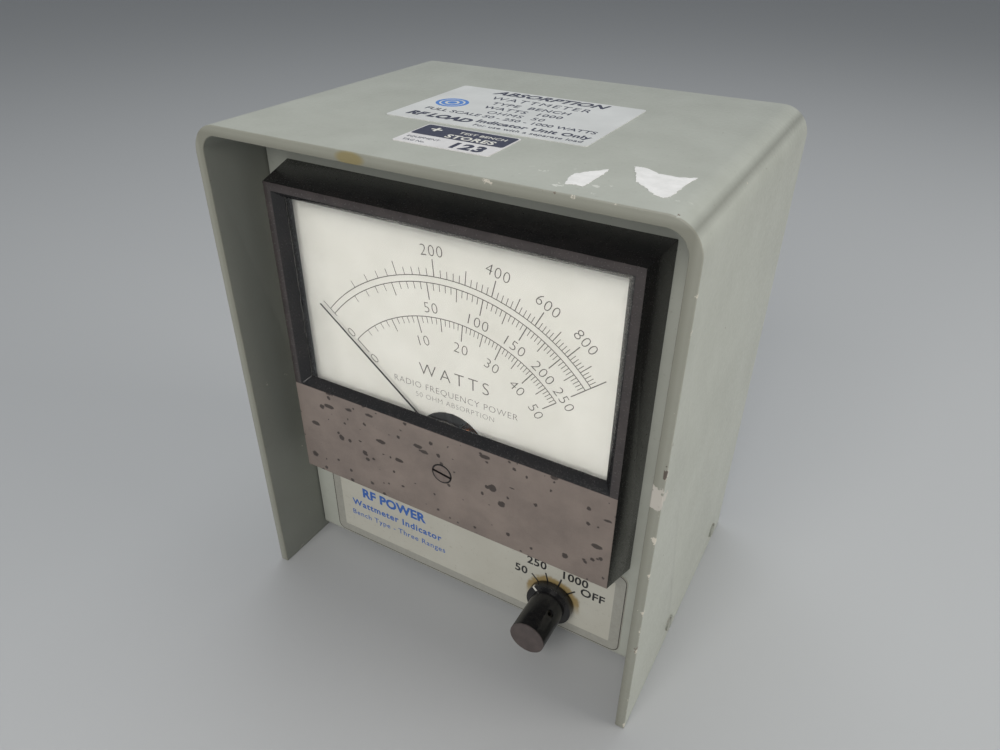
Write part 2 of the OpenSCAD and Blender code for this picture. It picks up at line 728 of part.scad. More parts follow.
module coil_pivots() color([0.75, 0.75, 0.78]) at_rest() {
    front = magnet_y - coil_end_gap - former_t;
    back = magnet_back + coil_end_gap + former_t;
    rod_y(0, bridge_y + 0.2, 0, pivot_r, front - bridge_y - 0.2, 32);
    rod_y(0, front - winding_t - collar[1], 0, collar[0], collar[1]);
    rod_y(0, back, 0, pivot_r, rear_bridge_y + 0.3 - back, 32);
}

// A rectangular hoop round the core: reach is its half width, grow its end growth.
module coil_hoop(reach, grow, thick, half) {
    y = magnet_y - coil_end_gap - grow;
    len = magnet_len + 2 * (coil_end_gap + grow);
    difference() {
        translate([-reach, y, -half]) cube([2 * reach, len, 2 * half]);
        translate([-reach + thick, y + thick, -half - 1])
            cube([2 * (reach - thick), len - 2 * thick, 2 * half + 2]);
    }
}

module coil_former() color([0.75, 0.76, 0.78]) at_rest()
    coil_hoop(former_in + former_t, former_t, former_t, coil_half);

module coil_winding() color([0.65, 0.33, 0.16]) at_rest() difference() {
    coil_hoop(former_in + former_t + winding_t, former_t + winding_t, winding_t, coil_half - 0.6);
    rod_y(0, magnet_y - 5, 0, collar[0], 5);
    rod_y(0, magnet_back, 0, pivot_r, 5, 32);
}

// Flat spiral ribbon from the hub's collet out to the fixed stud.
module hairspring(y) {
    steps = 24 * spring_turns;
    sweep = 360 * spring_turns + 90 - rest_angle;
    function at(i, side) = let (
        t = i / steps,
        r = spring_in + (spring_out - spring_in) * t + side * spring_w / 2,
        a = rest_angle + sweep * t) [r * sin(a), r * cos(a)];
    translate([0, 0, pivot_z]) slab_y(y, spring_h) polygon(concat(
        [for (i = [0 : steps]) at(i, 1)], [for (i = [steps : -1 : 0]) at(i, -1)]));
}

module front_hairspring() color([0.75, 0.6, 0.35]) hairspring(spring_y);

module rear_hairspring() color([0.75, 0.6, 0.35]) hairspring(rear_spring_y - spring_h + 0.5);

module meter_terminals() color([0.75, 0.62, 0.35]) for (s = [-1, 1]) {
    rod_y(s * terminal_x, can_floor - terminal_head_t, terminal_z, terminal_r + terminal_head_w,
          terminal_head_t);
    rod_y(s * terminal_x, can_floor - 0.1, terminal_z, terminal_r, terminal_len);
}

module terminal_nuts() color([0.75, 0.62, 0.35]) for (s = [-1, 1], y = [can_back, lug_y + lug_t + 0.6])
    hex_y(s * terminal_x, y, terminal_z, 3.5 * terminal_r, terminal_nut_t, terminal_r);

module solder_lugs() color([0.78, 0.78, 0.74]) for (s = [-1, 1]) difference() {
    union() {
        rod_y(s * terminal_x, lug_y, terminal_z, terminal_r + lug_ring_w, lug_t);
        translate([s * terminal_x - lug_tail[0] / 2, lug_y, terminal_z - lug_tail[1]])
            cube([lug_tail[0], lug_t, lug_tail[1] - 1]);
    }
    rod_y(s * terminal_x, can_back, terminal_z, terminal_r + thread_clear, 8);
}

// Two leads that drop from the meter's lugs to the circuit board.
module meter_leads() for (s = [-1, 1]) color(s > 0 ? [0.7, 0.1, 0.1] : [0.1, 0.1, 0.1])
    translate([s * terminal_x, lead_y, board_z + board_t])
        cylinder(r = wire_r, h = terminal_z - lug_tail[1] + 2 - board_z - board_t, $fn = 24);

// ---- range switch ----

module knob_frame() {
    translate([switch_x, 0, switch_z]) rotate([0, -off_angle, 0]) children();
}

module range_knob() color([0.05, 0.05, 0.05]) knob_frame() difference() {
    union() {
        along_y(0, knob_front, 0) {
            cylinder(r1 = knob_r - 0.5, r2 = knob_r, h = 0.5, $fn = 96);
            translate([0, 0, 0.5]) cylinder(r = knob_r, h = knob_len - 0.5, $fn = 96);
        }
        along_y(0, knob_back - skirt_t, 0) {
            cylinder(r1 = skirt_r - 0.4, r2 = skirt_r, h = 0.4, $fn = 96);
            translate([0, 0, 0.4]) cylinder(r = skirt_r, h = skirt_t - 0.4, $fn = 96);
        }
    }
    rod_y(0, shaft_front, 0, shaft_r + knob_fit, knob_len, 64);
    rod_y(0, bushing_front - nut_room, 0, nut_flat / sqrt(3) + 0.3, 10, 64);
    translate([0, set_screw_y, 0]) rotate([0, set_screw_turn, 0])
        cylinder(r = set_screw_r, h = knob_r + 2, $fn = 32);
}

module knob_set_screw() color([0.2, 0.2, 0.2]) knob_frame()
    translate([0, set_screw_y, 0]) rotate([0, set_screw_turn, 0]) difference() {
        translate([0, 0, shaft_r - 0.35]) cylinder(r = set_screw_r, h = 2.6, $fn = 32);
        translate([0, 0, shaft_r + 0.9]) cylinder(r = 0.7, h = 3, $fn = 6);
    }

module switch_shaft() color([0.72, 0.72, 0.74]) knob_frame() difference() {
    rod_y(0, shaft_front + 0.2, 0, shaft_r, shaft_back - shaft_front - 0.2, 64);
    translate([0, set_screw_y, 0]) rotate([0, set_screw_turn, 0])
        translate([-5, -9, shaft_r - 0.4]) cube([10, 15, 5]);
    rod_y(0, wafer_y - 1, 0, shaft_r - 1, 20);
}

module switch_bushing() color([0.7, 0.7, 0.68]) translate([switch_x, 0, switch_z]) difference() {
    union() {
        rod_y(0, bushing_front, 0, bushing_r, panel_in_y - bushing_front + 1, 64);
        rod_y(0, panel_in_y, 0, wafer_r, housing_len, 96);
    }
    rod_y(0, bushing_front - 1, 0, shaft_r + running_gap, 40, 64);
    rod_y(0, panel_in_y + 2, 0, wafer_r - 1.2, housing_len, 96);
    for (s = [-1, 1]) rod_y(s * tie_x, panel_in_y - 1, 0, tie_r, 5);
}

module switch_washer() color([0.7, 0.7, 0.7]) along_y(switch_x, legend_y - 0.2, switch_z)
    difference() {
        cylinder(r = nut_flat / 2, h = 0.2);
        translate([0, 0, -1]) cylinder(r = bushing_r + 0.1, h = 3);
    }

module switch_nut() color([0.72, 0.7, 0.62])
    hex_y(switch_x, legend_y - nut_t, switch_z, nut_flat, nut_t - 0.2, bushing_r);

// Scalloped wheel on the shaft: one hollow for every switch position.
module detent_wheel() color([0.6, 0.6, 0.6]) knob_frame() difference() {
    rod_y(0, detent_y, 0, detent_r, detent_t);
    rod_y(0, panel_in_y, 0, shaft_r, 9, 64);
    for (a = [0 : step_angle : 359]) rotate([0, a, 0])
        rod_y(0, panel_in_y, detent_r + 0.6, hollow_r, 9, 24);
}

// Bent wire spring whose nose stands over one hollow of the detent wheel.
module detent_spring() color([0.78, 0.78, 0.8]) translate([switch_x, panel_in_y + 3, switch_z]) {
    rotate([0, -off_angle, 0]) translate([0, 0, 8]) {
        rotate([-90, 0, 0]) cylinder(r = 0.8, h = 1.4, $fn = 24);
        translate([-0.5, 0, 0]) cube([1, 1.4, 2.6]);
    }
}

module switch_wafer() color([0.5, 0.36, 0.2]) translate([switch_x, 0, switch_z]) difference() {
    rod_y(0, wafer_y, 0, wafer_r, wafer_t, 96);
    rod_y(0, wafer_y - 1, 0, rotor_r + rotor_gap, wafer_t + 2, 64);
    for (s = [-1, 1]) rod_y(s * tie_x, wafer_y - 1, 0, tie_r + 0.1, wafer_t + 2);
}

// Spring clips at the switch positions and one common clip opposite them.
module wafer_contacts() color([0.8, 0.8, 0.76]) translate([switch_x, 0, switch_z])
    for (a = [-off_angle : step_angle : off_angle]) rotate([0, a + 180, 0]) {
        translate([-clip_blade[0] / 2, wafer_y + wafer_t, rotor_r + 0.6])
            cube([clip_blade[0], clip_blade[1], 6]);
        translate([-clip_blade[0] / 2, wafer_y + wafer_t + 0.2, rotor_r - 1])
            cube([clip_blade[0], clip_blade[1], 2]);
    }

module wafer_rotor() color([0.86, 0.8, 0.62]) knob_frame() difference() {
    union() {
        rod_y(0, wafer_y + 0.1, 0, rotor_r, wafer_t - 0.2, 64);
        rod_y(0, wafer_y - 1.4, 0, shaft_r + 1.2, 1.6);
    }
    rod_y(0, wafer_y - 3, 0, shaft_r, 10, 64);
}

module switch_spacers() color([0.7, 0.7, 0.7]) for (s = [-1, 1])
    translate([switch_x + s * tie_x, 0, switch_z]) difference() {
        rod_y(0, housing_back - housing_len + 2, 0, tie_r + 0.8, housing_len - 2 + wafer_gap);
        rod_y(0, panel_in_y, 0, tie_r, 30);
    }

module switch_tie_screws() color([0.72, 0.72, 0.74]) for (s = [-1, 1])
    translate([switch_x + s * tie_x, 0, switch_z]) {
        rod_y(0, panel_in_y + 0.2, 0, tie_r, wafer_y + wafer_t - panel_in_y - 0.2);
        rod_y(0, wafer_y + wafer_t, 0, tie_head[0], tie_head[1]);
    }

// ---- circuit board and socket ----

module each_board_hole(z) {
    for (sx = [-1, 1], sy = [-1, 1])
        translate([board_mid[0] + sx * board_hole[0], board_mid[1] + sy * board_hole[1], z])
            children();
}

module circuit_board() color([0.1, 0.35, 0.2]) difference() {
    translate([board_mid[0] - board[0] / 2, board_mid[1] - board[1] / 2, board_z])
        cube([board[0], board[1], board_t]);
    each_board_hole(board_z - 1)
        cylinder(r = board_screw_r + thread_clear, h = board_t + 2, $fn = 32);
}

module board_standoffs() color([0.75, 0.72, 0.6]) each_board_hole(floor_z) difference() {
    cylinder(r = standoff_r, h = board_rise, $fn = 6);
    translate([0, 0, -1]) cylinder(r = board_screw_r, h = board_rise + 2, $fn = 32);
}

module board_screws() color([0.7, 0.7, 0.7]) {
    upper = board_rise / 2 + board_t - 0.4;
    lower = board_rise / 2 + chassis_t - 0.4;
    each_board_hole(board_z + board_t) cylinder(r = standoff_r - 0.4, h = 1.6, $fn = 32);
    each_board_hole(board_z + board_t - upper) cylinder(r = board_screw_r, h = upper + 0.1, $fn = 32);
    each_board_hole(chassis_lift - 0.6) cylinder(r = standoff_r - 0.6, h = 0.6, $fn = 32);
    each_board_hole(chassis_lift - 0.1) cylinder(r = board_screw_r, h = lower, $fn = 32);
}

// One calibration resistor for each range, lying across the board.
module range_resistors() color([0.8, 0.7, 0.5])
    for (i = [0 : 3]) translate([board_mid[0] + resistor_pitch * (i - 1.5), board_mid[1] - 5,
                                 board_z + board_t + body_r + 0.2]) {
        rotate([-90, 0, 0]) cylinder(r = body_r, h = body_len, $fn = 32);
        translate([0, -2, 0]) rotate([-90, 0, 0]) cylinder(r = 0.35, h = body_len + 4, $fn = 24);
        for (y = [-2, body_len + 1.7]) translate([-0.35, y, -body_r - 0.2])
            cube([0.7, 0.7, body_r + 0.3]);
    }

module filter_capacitor() color([0.75, 0.45, 0.1])
    translate([board_mid[0] + 22, board_mid[1], board_z + board_t + 1]) {
        rotate([-90, 0, 0]) translate([0, -4, -1.5]) cylinder(r = 4, h = 3, $fn = 48);
        for (s = [-1, 1]) translate([s * 2.5 - 0.3, -0.3, -1]) cube([0.6, 0.6, 3]);
    }

// Bulkhead socket: flange and barrel outside, a threaded tail through the back panel.
module signal_socket() color([0.78, 0.78, 0.76]) translate([socket_x, 0, socket_z]) difference() {
    union() {
        rod_y(0, back_y, 0, socket_r + socket_flange[0], socket_flange[1], 64);
        rod_y(0, back_y + 1, 0, socket_r, socket_len - 1, 64);
        rod_y(0, back_in_y - socket_tail, 0, socket_tail_r, socket_tail + chassis_t + 1, 64);
    }
    rod_y(0, back_in_y - socket_tail - 1, 0, socket_r - bore_wall, 40, 64);
}

module socket_insulator() color([0.9, 0.9, 0.86]) translate([socket_x, 0, socket_z]) difference() {
    rod_y(0, back_in_y - socket_tail, 0, socket_r - bore_wall, socket_tail + chassis_t + 2, 64);
    rod_y(0, back_in_y - socket_tail - 2, 0, contact_r, 30);
}

module socket_contact() color([0.85, 0.68, 0.3]) translate([socket_x, 0, socket_z]) difference() {
    rod_y(0, back_in_y - socket_tail - 4, 0, contact_r,
          socket_tail + 4 + chassis_t + socket_len - 2);
    rod_y(0, back_y + socket_len - 6, 0, 0.5, 10);
}

module socket_nut() color([0.72, 0.7, 0.62])
    hex_y(socket_x, back_in_y - socket_nut_t, socket_z, 12, socket_nut_t, socket_tail_r);

cover();
chassis();
cover_screws();
legend_plate();
nameplate_label();
inventory_tag();
meter_case();
window_glass();
meter_base();
mounting_studs();
mounting_washers();
mounting_nuts();
dial_plate();
dial_posts();
dial_screws();
zero_screw();
zero_screw_clip();
zero_lever();
front_bridge();
rear_bridge();
bridge_screws();
jewel_screws();
magnet_ring();
pole_pieces();
iron_core();
core_holder();
movement_pillars();
pillar_nuts();
pointer();
coil_pivots();
coil_former();
coil_winding();
front_hairspring();
rear_hairspring();
meter_terminals();
terminal_nuts();
solder_lugs();
meter_leads();
range_knob();
knob_set_screw();
switch_shaft();
switch_bushing();
switch_washer();
switch_nut();
detent_wheel();
detent_spring();
switch_wafer();
wafer_contacts();
wafer_rotor();
switch_spacers();
switch_tie_screws();
circuit_board();
board_standoffs();
board_screws();
range_resistors();
filter_capacitor();
signal_socket();
socket_insulator();
socket_contact();
socket_nut();
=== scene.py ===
"""Bench radio wattmeter: a large needle meter and a range knob in a folded sheet housing."""
import math
import random

import bmesh
import bpy
from mathutils import Matrix, Vector


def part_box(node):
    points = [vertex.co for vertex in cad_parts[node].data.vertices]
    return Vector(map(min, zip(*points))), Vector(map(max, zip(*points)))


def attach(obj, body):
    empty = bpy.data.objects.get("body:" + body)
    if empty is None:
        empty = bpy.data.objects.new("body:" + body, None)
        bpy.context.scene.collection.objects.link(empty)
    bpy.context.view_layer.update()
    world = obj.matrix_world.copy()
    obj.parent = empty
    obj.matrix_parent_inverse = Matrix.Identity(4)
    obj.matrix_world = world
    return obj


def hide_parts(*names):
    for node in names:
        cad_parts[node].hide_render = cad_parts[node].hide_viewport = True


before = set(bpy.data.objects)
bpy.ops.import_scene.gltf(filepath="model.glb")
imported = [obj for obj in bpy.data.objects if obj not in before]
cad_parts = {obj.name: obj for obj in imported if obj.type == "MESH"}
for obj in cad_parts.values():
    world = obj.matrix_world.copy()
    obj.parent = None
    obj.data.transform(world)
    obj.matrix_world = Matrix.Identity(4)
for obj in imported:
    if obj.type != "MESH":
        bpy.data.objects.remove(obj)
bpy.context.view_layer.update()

MM = 0.001


# ---- Chassis ----
# One sheet of steel folded into front panel, floor and back, with side flanges for the cover
# screws. Sprayed grey-green, with the fine orange peel and soft cloudiness of stoved enamel.
def add(tree, kind, values=None, **settings):
    """Adds a shader node, sets it up, and fills or links its inputs."""
    made = tree.nodes.new(kind)
    for name, value in settings.items():
        setattr(made, name, value)
    for name, value in (values or {}).items():
        if isinstance(value, bpy.types.NodeSocket):
            tree.links.new(value, made.inputs[name])
        else:
            made.inputs[name].default_value = value
    return made


def sum_of(tree, operation, first, second=0.0):
    """One step of arithmetic on two values."""
    return add(tree, "ShaderNodeMath", {0: first, 1: second}, operation=operation).outputs[0]


def times(tree, first, second):
    """One value by another, as when a mask is held to a place."""
    return sum_of(tree, "MULTIPLY", first, second)


def own_axes(tree):
    """The piece's own coordinates, as sockets X, Y and Z."""
    spot = add(tree, "ShaderNodeTexCoord").outputs["Object"]
    return add(tree, "ShaderNodeSeparateXYZ", {0: spot}).outputs


def ramp(tree, value, low, high, start=0.0, end=1.0):
    """Turns low..high of a value into start..end, held at both ends."""
    return add(tree, "ShaderNodeMapRange", {"Value": value, "From Min": low, "From Max": high,
                                            "To Min": start, "To Max": end}).outputs[0]


def over(tree, share, under, upper):
    """Lays the upper colour on the under one where share is 1."""
    mix = add(tree, "ShaderNodeMix", {0: share, 6: under, 7: upper}, data_type="RGBA")
    return mix.outputs[2]


def clouds(tree, scale, detail=4.0, roughness=0.6, place=None):
    """Soft noise on the piece's own coordinates, features of about 1 / scale metres."""
    noise = add(tree, "ShaderNodeTexNoise", {"Scale": scale, "Detail": detail,
                                             "Roughness": roughness})
    source = place or add(tree, "ShaderNodeTexCoord").outputs["Object"]
    tree.links.new(source, noise.inputs["Vector"])
    return noise.outputs[0]


def effect(name, inputs, outputs):
    """An empty node group with named sockets, ready to be filled."""
    group = bpy.data.node_groups.new(name, "ShaderNodeTree")
    for label, value in inputs.items():
        kind = "NodeSocketColor" if isinstance(value, tuple) else "NodeSocketFloat"
        group.interface.new_socket(name=label, in_out="INPUT", socket_type=kind)
    for label, kind in outputs.items():
        group.interface.new_socket(name=label, in_out="OUTPUT", socket_type=f"NodeSocket{kind}")
    given = group.nodes.new("NodeGroupInput").outputs
    result = group.nodes.new("NodeGroupOutput").inputs
    return group, given, result


def use(tree, group, values):
    """Places an effect in a material and returns its outputs."""
    return add(tree, "ShaderNodeGroup", values, node_tree=group).outputs


# Cloudy colour between two shades, and a fine grain for the bump.
mottle, given, result = effect(
    "mottle", {"Base": (1, 1, 1, 1), "Shade": (0, 0, 0, 1), "Size": 100.0, "Amount": 1.0},
    {"Color": "Color", "Grain": "Float"})
patch = ramp(mottle, clouds(mottle, given["Size"]), 0.36, 0.66)
mottle.links.new(over(mottle, times(mottle, patch, given["Amount"]), given["Base"],
                      given["Shade"]), result["Color"])
mottle.links.new(clouds(mottle, times(mottle, given["Size"], 14.0), 2.0), result["Grain"])

# Hard-edged patches, as of chipped paint or specks of dirt: Share is how much they cover.
patches, given, result = effect("patches", {"Size": 400.0, "Share": 0.1}, {"Mask": "Float"})
edge = sum_of(patches, "SUBTRACT", 0.72, times(patches, given["Share"], 0.5))
chip = sum_of(patches, "SUBTRACT", clouds(patches, given["Size"], 6.0, 0.65), edge)
patches.links.new(ramp(patches, chip, 0.0, 0.015), result["Mask"])


def film_of(tree, base, shade, size, amount):
    """A cloudy film between two shades, with its grain."""
    return use(tree, mottle, {"Base": base, "Shade": shade, "Size": size, "Amount": amount})


def mask_of(tree, size, share):
    """Hard-edged patches, which cover a share of the piece."""
    return use(tree, patches, {"Size": size, "Share": share})["Mask"]


def lay(tree, skin, height, film, colour=None, sheen=None):
    """Lays a film on a skin: its colour, its grain as relief, and a range of roughness."""
    tree.links.new(film["Color"] if colour is None else colour, skin.inputs["Base Color"])
    tree.links.new(film["Grain"], height)
    if sheen:
        tree.links.new(ramp(tree, film["Grain"], 0.3, 0.7, *sheen), skin.inputs["Roughness"])


def finish(name, roughness, metallic=0.0, bump=0.0, bump_depth=0.00002, **shader):
    """A new material with its shader, and a tree to fill."""
    made = bpy.data.materials.new(name)
    made.use_nodes = True
    tree = made.node_tree
    skin = tree.nodes["Principled BSDF"]
    skin.inputs["Roughness"].default_value = roughness
    skin.inputs["Metallic"].default_value = metallic
    for label, value in shader.items():
        skin.inputs[label.replace("_", " ")].default_value = value
    if bump:
        relief = add(tree, "ShaderNodeBump", {"Strength": bump, "Distance": bump_depth})
        tree.links.new(relief.outputs[0], skin.inputs["Normal"])
        return made, tree, skin, relief.inputs["Height"]
    return made, tree, skin, None


def clothe(material, *names):
    """Gives CAD nodes a finish, in their material slots."""
    for name in names:
        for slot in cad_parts[name].material_slots:
            slot.material = material


def enamel(name, base, shade, roughness=0.42):
    """Stoved spray enamel: orange peel, soft clouds, faint dirt."""
    made, tree, skin, height = finish(name, roughness, bump=0.25)
    film = film_of(tree, base, shade, 60.0, 0.55)
    dirt = times(tree, mask_of(tree, 900.0, 0.14), 0.25)
    lay(tree, skin, height, film, over(tree, dirt, film["Color"], (0.20, 0.19, 0.16, 1)),
        (roughness - 0.06, roughness + 0.10))
    return made, tree, skin


GREEN_GREY = (0.410, 0.425, 0.380, 1)
GREEN_GREY_WORN = (0.345, 0.358, 0.315, 1)
chassis_paint = enamel("chassis_enamel", GREEN_GREY, GREEN_GREY_WORN)[0]
clothe(chassis_paint, "chassis")


# ---- Cover ----
# Three-millimetre sheet bent over the top and both sides, its front rim proud of the panel.
# The same enamel, knocked back to pale primer and bare metal along the rim's outer edges.
def block(name, low, high):
    """A block from which a piece is shaped, with its place in its mesh."""
    bpy.ops.object.select_all(action="DESELECT")
    low, high = Vector(low), Vector(high)
    bpy.ops.mesh.primitive_cube_add(size=1, location=(low + high) / 2)
    piece = bpy.context.object
    piece.name = piece.data.name = name
    piece.scale = high - low
    bpy.ops.object.transform_apply(location=True, rotation=True, scale=True)
    return piece


def round_bar(name, radius, start, end, sides=64):
    """A turned blank that runs to the rear from start to end."""
    bpy.ops.object.select_all(action="DESELECT")
    start, end = Vector(start), Vector(end)
    bpy.ops.mesh.primitive_cylinder_add(vertices=sides, radius=radius, depth=(end - start).length,
                                        location=(start + end) / 2, rotation=(math.pi / 2, 0, 0))
    piece = bpy.context.object
    piece.name = piece.data.name = name
    bpy.ops.object.transform_apply(location=True, rotation=True, scale=True)
    return piece


def only(piece):
    """Makes a piece the one that the next operator works on."""
    bpy.ops.object.select_all(action="DESELECT")
    piece.select_set(True)
    bpy.context.view_layer.objects.active = piece


def pick(piece, kind, test):
    """In edit mode, selects the faces or edges whose middle and direction pass the test."""
    bpy.ops.mesh.select_mode(type=kind)
    bpy.ops.mesh.select_all(action="DESELECT")
    shape = bmesh.from_edit_mesh(piece.data)
    if kind == "FACE":
        for face in shape.faces:
            face.select_set(test(face.calc_center_median(), face.normal))
    else:
        for side in shape.edges:
            a, b = (v.co for v in side.verts)
            side.select_set(test((a + b) / 2, (b - a).normalized()))
    shape.select_flush_mode()
    bmesh.update_edit_mesh(piece.data)


def fit_modifier(piece, kind, **settings):
    """Adds a modifier to a piece and applies it."""
    only(piece)
    modifier = piece.modifiers.new(kind, kind)
    for name, value in settings.items():
        setattr(modifier, name, value)
    bpy.ops.object.modifier_apply(modifier=modifier.name)


def drill(piece, *tools):
    """Cuts tools out of a piece and throws the tools away."""
    for tool in tools:
        fit_modifier(piece, "BOOLEAN", object=tool, operation="DIFFERENCE", solver="EXACT")
        bpy.data.objects.remove(tool)


def ease(piece, width, segments=2, angle=35):
    """Breaks a piece's sharp edges and smooths what is round."""
    fit_modifier(piece, "BEVEL", width=width, segments=segments, limit_method="ANGLE",
                 angle_limit=math.radians(angle))
    only(piece)
    bpy.ops.object.shade_smooth_by_angle(angle=math.radians(32))


cover_low, cover_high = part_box("cover")
bend_radius, sheet = 8.5 * MM, 3 * MM
screw_z, screw_bore = 8 * MM, 1.6 * MM
front_screw, rear_screw = cover_low.y + 39 * MM, cover_high.y - 15.1 * MM
cover = block("cover_shell", cover_low, cover_high)
bpy.ops.object.mode_set(mode="EDIT")
pick(cover, "FACE", lambda c, n: abs(n.y) > 0.9 or n.z < -0.9)
bpy.ops.mesh.delete(type="FACE")
pick(cover, "EDGE", lambda c, d: abs(d.y) > 0.9 and c.z > cover_high.z - MM)
bpy.ops.mesh.bevel(offset=bend_radius, segments=14, affect="EDGES")
bpy.ops.object.mode_set(mode="OBJECT")
fit_modifier(cover, "SOLIDIFY", thickness=sheet, offset=-1, use_even_offset=True)
for screw_y in (front_screw, rear_screw):
    bore = round_bar("bore", screw_bore, (0, -90 * MM, 0), (0, 90 * MM, 0), 32)
    bpy.ops.transform.rotate(value=math.pi / 2, orient_axis="Z", center_override=(0, 0, 0))
    bpy.ops.transform.translate(value=(0, screw_y, screw_z))
    bpy.ops.object.transform_apply(location=True, rotation=True, scale=True)
    drill(cover, bore)
ease(cover, 0.4 * MM, 3)

cover_paint, tree, skin = enamel("cover_enamel", GREEN_GREY, GREEN_GREY_WORN)
base = skin.inputs["Base Color"].links[0].from_socket
axes = own_axes(tree)
behind_rim = sum_of(tree, "SUBTRACT", axes["Y"], cover_low.y)
side_gap = sum_of(tree, "SUBTRACT", cover_high.x, sum_of(tree, "ABSOLUTE", axes["X"]))
top_gap = sum_of(tree, "SUBTRACT", cover_high.z, axes["Z"])
skin_gap = sum_of(tree, "MINIMUM", side_gap, top_gap)
right = ramp(tree, axes["X"], -60 * MM, 66 * MM, 0.25, 1.0)
# painted shade: the inside faces darker, where the hood shades them
inside = ramp(tree, skin_gap, 1.2 * MM, 2.4 * MM, 0.0, 0.7)
base = over(tree, inside, base, (0.185, 0.190, 0.165, 1))
# the rim's edge face and the corner behind it, worn most on the right
at_corner = times(tree, ramp(tree, skin_gap, 2.2 * MM, 0.2 * MM),
                  ramp(tree, behind_rim, 3.2 * MM, 0.2 * MM))
worn = times(tree, times(tree, at_corner, right),
             ramp(tree, clouds(tree, 38.0, 2.0), 0.42, 0.66, 0.35, 1.0))
primer = mask_of(tree, 230.0, times(tree, worn, 0.42))
dark = mask_of(tree, 420.0, times(tree, worn, 0.30))
rim_tone = times(tree, ramp(tree, behind_rim, 0.5 * MM, 0.2 * MM), 0.62)
base = over(tree, rim_tone, base, (0.215, 0.21, 0.165, 1))
base = over(tree, primer, base, (0.60, 0.56, 0.48, 1))
base = over(tree, dark, base, (0.17, 0.14, 0.11, 1))
# one large chip on the right rim, with a dark knock above it
ragged = ramp(tree, clouds(tree, 520.0, 6.0), 0.3, 0.7, -2.4 * MM, 2.4 * MM)
blend = 0.1 * MM
for chip_z, chip_r, chip_x, tone in ((94 * MM, 3.4 * MM, 67.5 * MM, (0.50, 0.47, 0.42, 1)),
                                     (103 * MM, 1.5 * MM, 69.7 * MM, (0.10, 0.08, 0.065, 1))):
    above = sum_of(tree, "ABSOLUTE", sum_of(tree, "SUBTRACT", axes["Z"], chip_z))
    reach = sum_of(tree, "ADD", sum_of(tree, "ADD", above, behind_rim), ragged)
    here = times(tree, ramp(tree, reach, chip_r + blend, chip_r - blend),
                 ramp(tree, axes["X"], chip_x - blend, chip_x + blend))
    base = over(tree, here, base, tone)
# an old brown stain on the front rim: how far it reaches across, back and down
stain_x, stain_down = -16.5 * MM, 1.6 * MM
away = 0.0
for offset, reach in ((sum_of(tree, "SUBTRACT", axes["X"], stain_x), 4.5 * MM),
                      (behind_rim, 1.2 * MM),
                      (sum_of(tree, "SUBTRACT", top_gap, stain_down), 1.8 * MM)):
    share = sum_of(tree, "DIVIDE", offset, reach)
    away = sum_of(tree, "ADD", away, times(tree, share, share))
stain = ramp(tree, away, 1.2, 0.5, 0.0, 0.8)
base = over(tree, stain, base, (0.25, 0.20, 0.075, 1))
# faint rubs low on the walls
low_down = ramp(tree, axes["Z"], 45 * MM, 5 * MM)
rubs = times(tree, times(tree, mask_of(tree, 75.0, 0.12), low_down), 0.3)
base = over(tree, rubs, base, (0.52, 0.48, 0.42, 1))
# bits of white torn off with old stickers, near the front of the top
front_top = times(tree, ramp(tree, behind_rim, 22 * MM, 4 * MM),
                  ramp(tree, top_gap, 0.5 * MM, 0.1 * MM))
front_top = times(tree, front_top, ramp(tree, axes["X"], 5 * MM, 30 * MM))
scuffs = times(tree, mask_of(tree, 260.0, 0.17), front_top)
base = over(tree, scuffs, base, (0.62, 0.63, 0.58, 1))
tree.links.new(base, skin.inputs["Base Color"])
cover.data.materials.append(cover_paint)
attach(cover, "housing")
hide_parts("cover")

# ---- Cover screws ----
# Four pan-head screws low on the walls, sprayed over with the cover, the slots worn bright.
screw_paint, tree, skin = enamel("sprayed_screws", GREEN_GREY_WORN, (0.22, 0.22, 0.19, 1), 0.5)
base = skin.inputs["Base Color"].links[0].from_socket
tree.links.new(over(tree, mask_of(tree, 900.0, 0.3), base, (0.30, 0.28, 0.25, 1)),
               skin.inputs["Base Color"])
clothe(screw_paint, "cover_screws")


# ---- Legend plate ----
# Thin enamelled plate behind the knob. Light field, grey border, black figures for the four
# ranges and three blue lines of print. A brown ring of old grease stands round the knob.
def far_from(tree, axes, x, z):
    """Distance from a line that runs to the rear at x and z."""
    off_x = sum_of(tree, "SUBTRACT", axes["X"], x)
    off_z = sum_of(tree, "SUBTRACT", axes["Z"], z)
    return sum_of(tree, "SQRT", sum_of(tree, "ADD", times(tree, off_x, off_x),
                                       times(tree, off_z, off_z)))


plate_low, plate_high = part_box("legend_plate")
switch_x, switch_z = 34.25 * MM, 16.15 * MM
plate_enamel, tree, skin, height = finish("legend_enamel", 0.4, bump=0.12)
film = film_of(tree, (0.520, 0.512, 0.450, 1), (0.465, 0.452, 0.390, 1), 45.0, 0.7)
axes = own_axes(tree)
ragged = sum_of(tree, "ADD", far_from(tree, axes, switch_x, switch_z),
                ramp(tree, clouds(tree, 320.0), 0.3, 0.7, -0.7 * MM, 0.7 * MM))
grease = times(tree, ramp(tree, ragged, 10.6 * MM, 9.4 * MM, 0.0, 0.85),
               ramp(tree, axes["Z"], switch_z - 3 * MM, switch_z + 2 * MM))
specks = times(tree, mask_of(tree, 700.0, 0.16), 0.25)
base = over(tree, specks, film["Color"], (0.2, 0.17, 0.12, 1))
lay(tree, skin, height, film, over(tree, grease, base, (0.270, 0.180, 0.045, 1)), (0.34, 0.5))
clothe(plate_enamel, "legend_plate")


def ink(name, base, shade, roughness=0.45):
    """Screen-printed ink, slightly uneven."""
    made, tree, skin, height = finish(name, roughness, bump=0.1, bump_depth=0.00001)
    lay(tree, skin, height, film_of(tree, base, shade, 900.0, 0.8))
    return made


